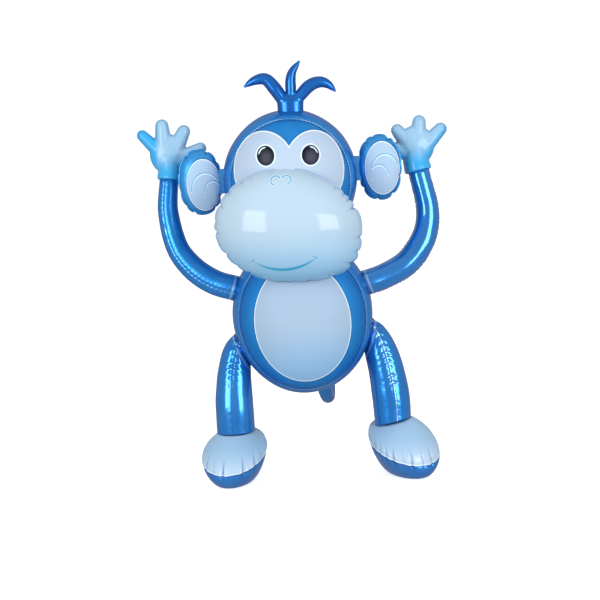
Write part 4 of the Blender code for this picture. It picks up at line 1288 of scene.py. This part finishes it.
class MONKEY_OT_studio(bpy.types.Operator):
    """Floor, lights and camera"""
    bl_idname = "monkey.studio"
    bl_label = "Studio"

    def execute(self, context):
        self.lay_floor()
        self.set_lights(context)
        self.set_camera(context)
        return {"FINISHED"}

    def lay_floor(self):
        """White floor that curves up all round, so that no horizon shows from any side."""
        level = CAD_BOX[0].z - 0.0005
        outline = [(0.0, level), (FLOOR_RADIUS, level)]
        for angle in range(6, 91, 6):
            along, fall = math.sin(math.radians(angle)), math.cos(math.radians(angle))
            outline.append((FLOOR_RADIUS + FLOOR_CURVE * along, level + FLOOR_CURVE - FLOOR_CURVE * fall))
        floor = finished("studio_floor", spun(outline, 96, 0.0001))
        # Lit acrylic: pure white from every side, with only a faint shadow under the feet
        material = bpy.data.materials.new("lit_white_acrylic")
        material.use_nodes = True
        shader = material.node_tree.nodes["Principled BSDF"]
        shader.inputs["Base Color"].default_value = linear("#F2F2F2")
        shader.inputs["Roughness"].default_value = 0.9
        shader.inputs["Emission Color"].default_value = linear("#FFFFFF")
        shader.inputs["Emission Strength"].default_value = FLOOR_GLOW
        floor.data.materials.append(material)
        floor.visible_glossy = False
        floor.visible_diffuse = False

    def set_lights(self, context):
        """Two upright softboxes beside the camera, one overhead, and a white surround that brightens upwards."""
        target = figure(0.0, -40.0, 340.0)
        for name, place, width, height, radiance, mirrored in SOFTBOXES:
            lamp = bpy.data.lights.new(name, "AREA")
            lamp.shape = "RECTANGLE"
            lamp.size = width
            lamp.size_y = height
            lamp.energy = radiance * math.pi * width * height
            box = bpy.data.objects.new(name, lamp)
            box.location = place
            box.rotation_mode = "QUATERNION"
            box.rotation_quaternion = (target - Vector(place)).to_track_quat("-Z", "Y")
            box.visible_glossy = mirrored
            context.scene.collection.objects.link(box)
        world = bpy.data.worlds.new("white_surround")
        world.use_nodes = True
        tree = world.node_tree
        heading = add(tree, "TexCoord")
        split = add(tree, "SeparateXYZ", links={"Vector": heading.outputs["Generated"]})
        rise = add(tree, "MapRange", {"From Max": 0.9, "To Min": SURROUND[0], "To Max": SURROUND[1]},
                   {"Value": split.outputs["Z"]})
        tree.links.new(rise.outputs["Result"], tree.nodes["Background"].inputs["Strength"])
        tree.nodes["Background"].inputs["Color"].default_value = linear("#FFFFFF")
        context.scene.world = world
        context.scene.view_settings.view_transform = "Standard"

    def set_camera(self, context):
        """Looks slightly down from in front, rolled as the photo is."""
        back = Vector((0.0, -math.cos(CAMERA_PITCH), math.sin(CAMERA_PITCH)))
        place = figure(0.0, 0.0, 300.0) + back * CAMERA_DISTANCE
        across = Vector((1.0, 0.0, 0.0))
        up = across.cross(-back)
        right = across * math.cos(CAMERA_ROLL) - up * math.sin(CAMERA_ROLL)
        upward = across * math.sin(CAMERA_ROLL) + up * math.cos(CAMERA_ROLL)
        lens = bpy.data.cameras.new("camera")
        lens.sensor_width = SENSOR_WIDTH
        lens.lens = SENSOR_WIDTH * LENS_LENGTH / FRAME_SIDE
        lens.shift_y = (LENS_MIDDLE - FRAME_SIDE / 2) / FRAME_SIDE
        camera = bpy.data.objects.new("camera", lens)
        camera.matrix_world = Matrix.Translation(place) @ Matrix((right, upward, back)).transposed().to_4x4()
        context.scene.collection.objects.link(camera)
        context.scene.camera = camera


STEPS = (MONKEY_OT_studio, MONKEY_OT_torso, MONKEY_OT_head, MONKEY_OT_muzzle, MONKEY_OT_ears, MONKEY_OT_tuft,
         MONKEY_OT_arms, MONKEY_OT_hands, MONKEY_OT_legs, MONKEY_OT_feet, MONKEY_OT_tail, MONKEY_OT_valve)


class MONKEY_PT_panel(bpy.types.Panel):
    """Lists the monkey's pieces"""
    bl_idname = "MONKEY_PT_panel"
    bl_label = "Inflatable Monkey"
    bl_space_type = "VIEW_3D"
    bl_region_type = "UI"
    bl_category = "Monkey"

    def draw(self, context):
        for step in STEPS:
            self.layout.operator(step.bl_idname)
        for settings in (context.scene.monkey_film, context.scene.monkey_colours):
            box = self.layout.box()
            for name in settings.__annotations__:
                box.prop(settings, name)


CLASSES = (MonkeyFilm, MonkeyColours) + STEPS + (MONKEY_PT_panel,)


def register():
    for item in CLASSES:
        bpy.utils.register_class(item)
    bpy.types.Scene.monkey_film = bpy.props.PointerProperty(type=MonkeyFilm)
    bpy.types.Scene.monkey_colours = bpy.props.PointerProperty(type=MonkeyColours)


def unregister():
    del bpy.types.Scene.monkey_colours
    del bpy.types.Scene.monkey_film
    for item in reversed(CLASSES):
        bpy.utils.unregister_class(item)


def main():
    register()
    for step in STEPS:
        group, operation = step.bl_idname.split(".")
        getattr(getattr(bpy.ops, group), operation)()


if __name__ == "__main__":
    main()
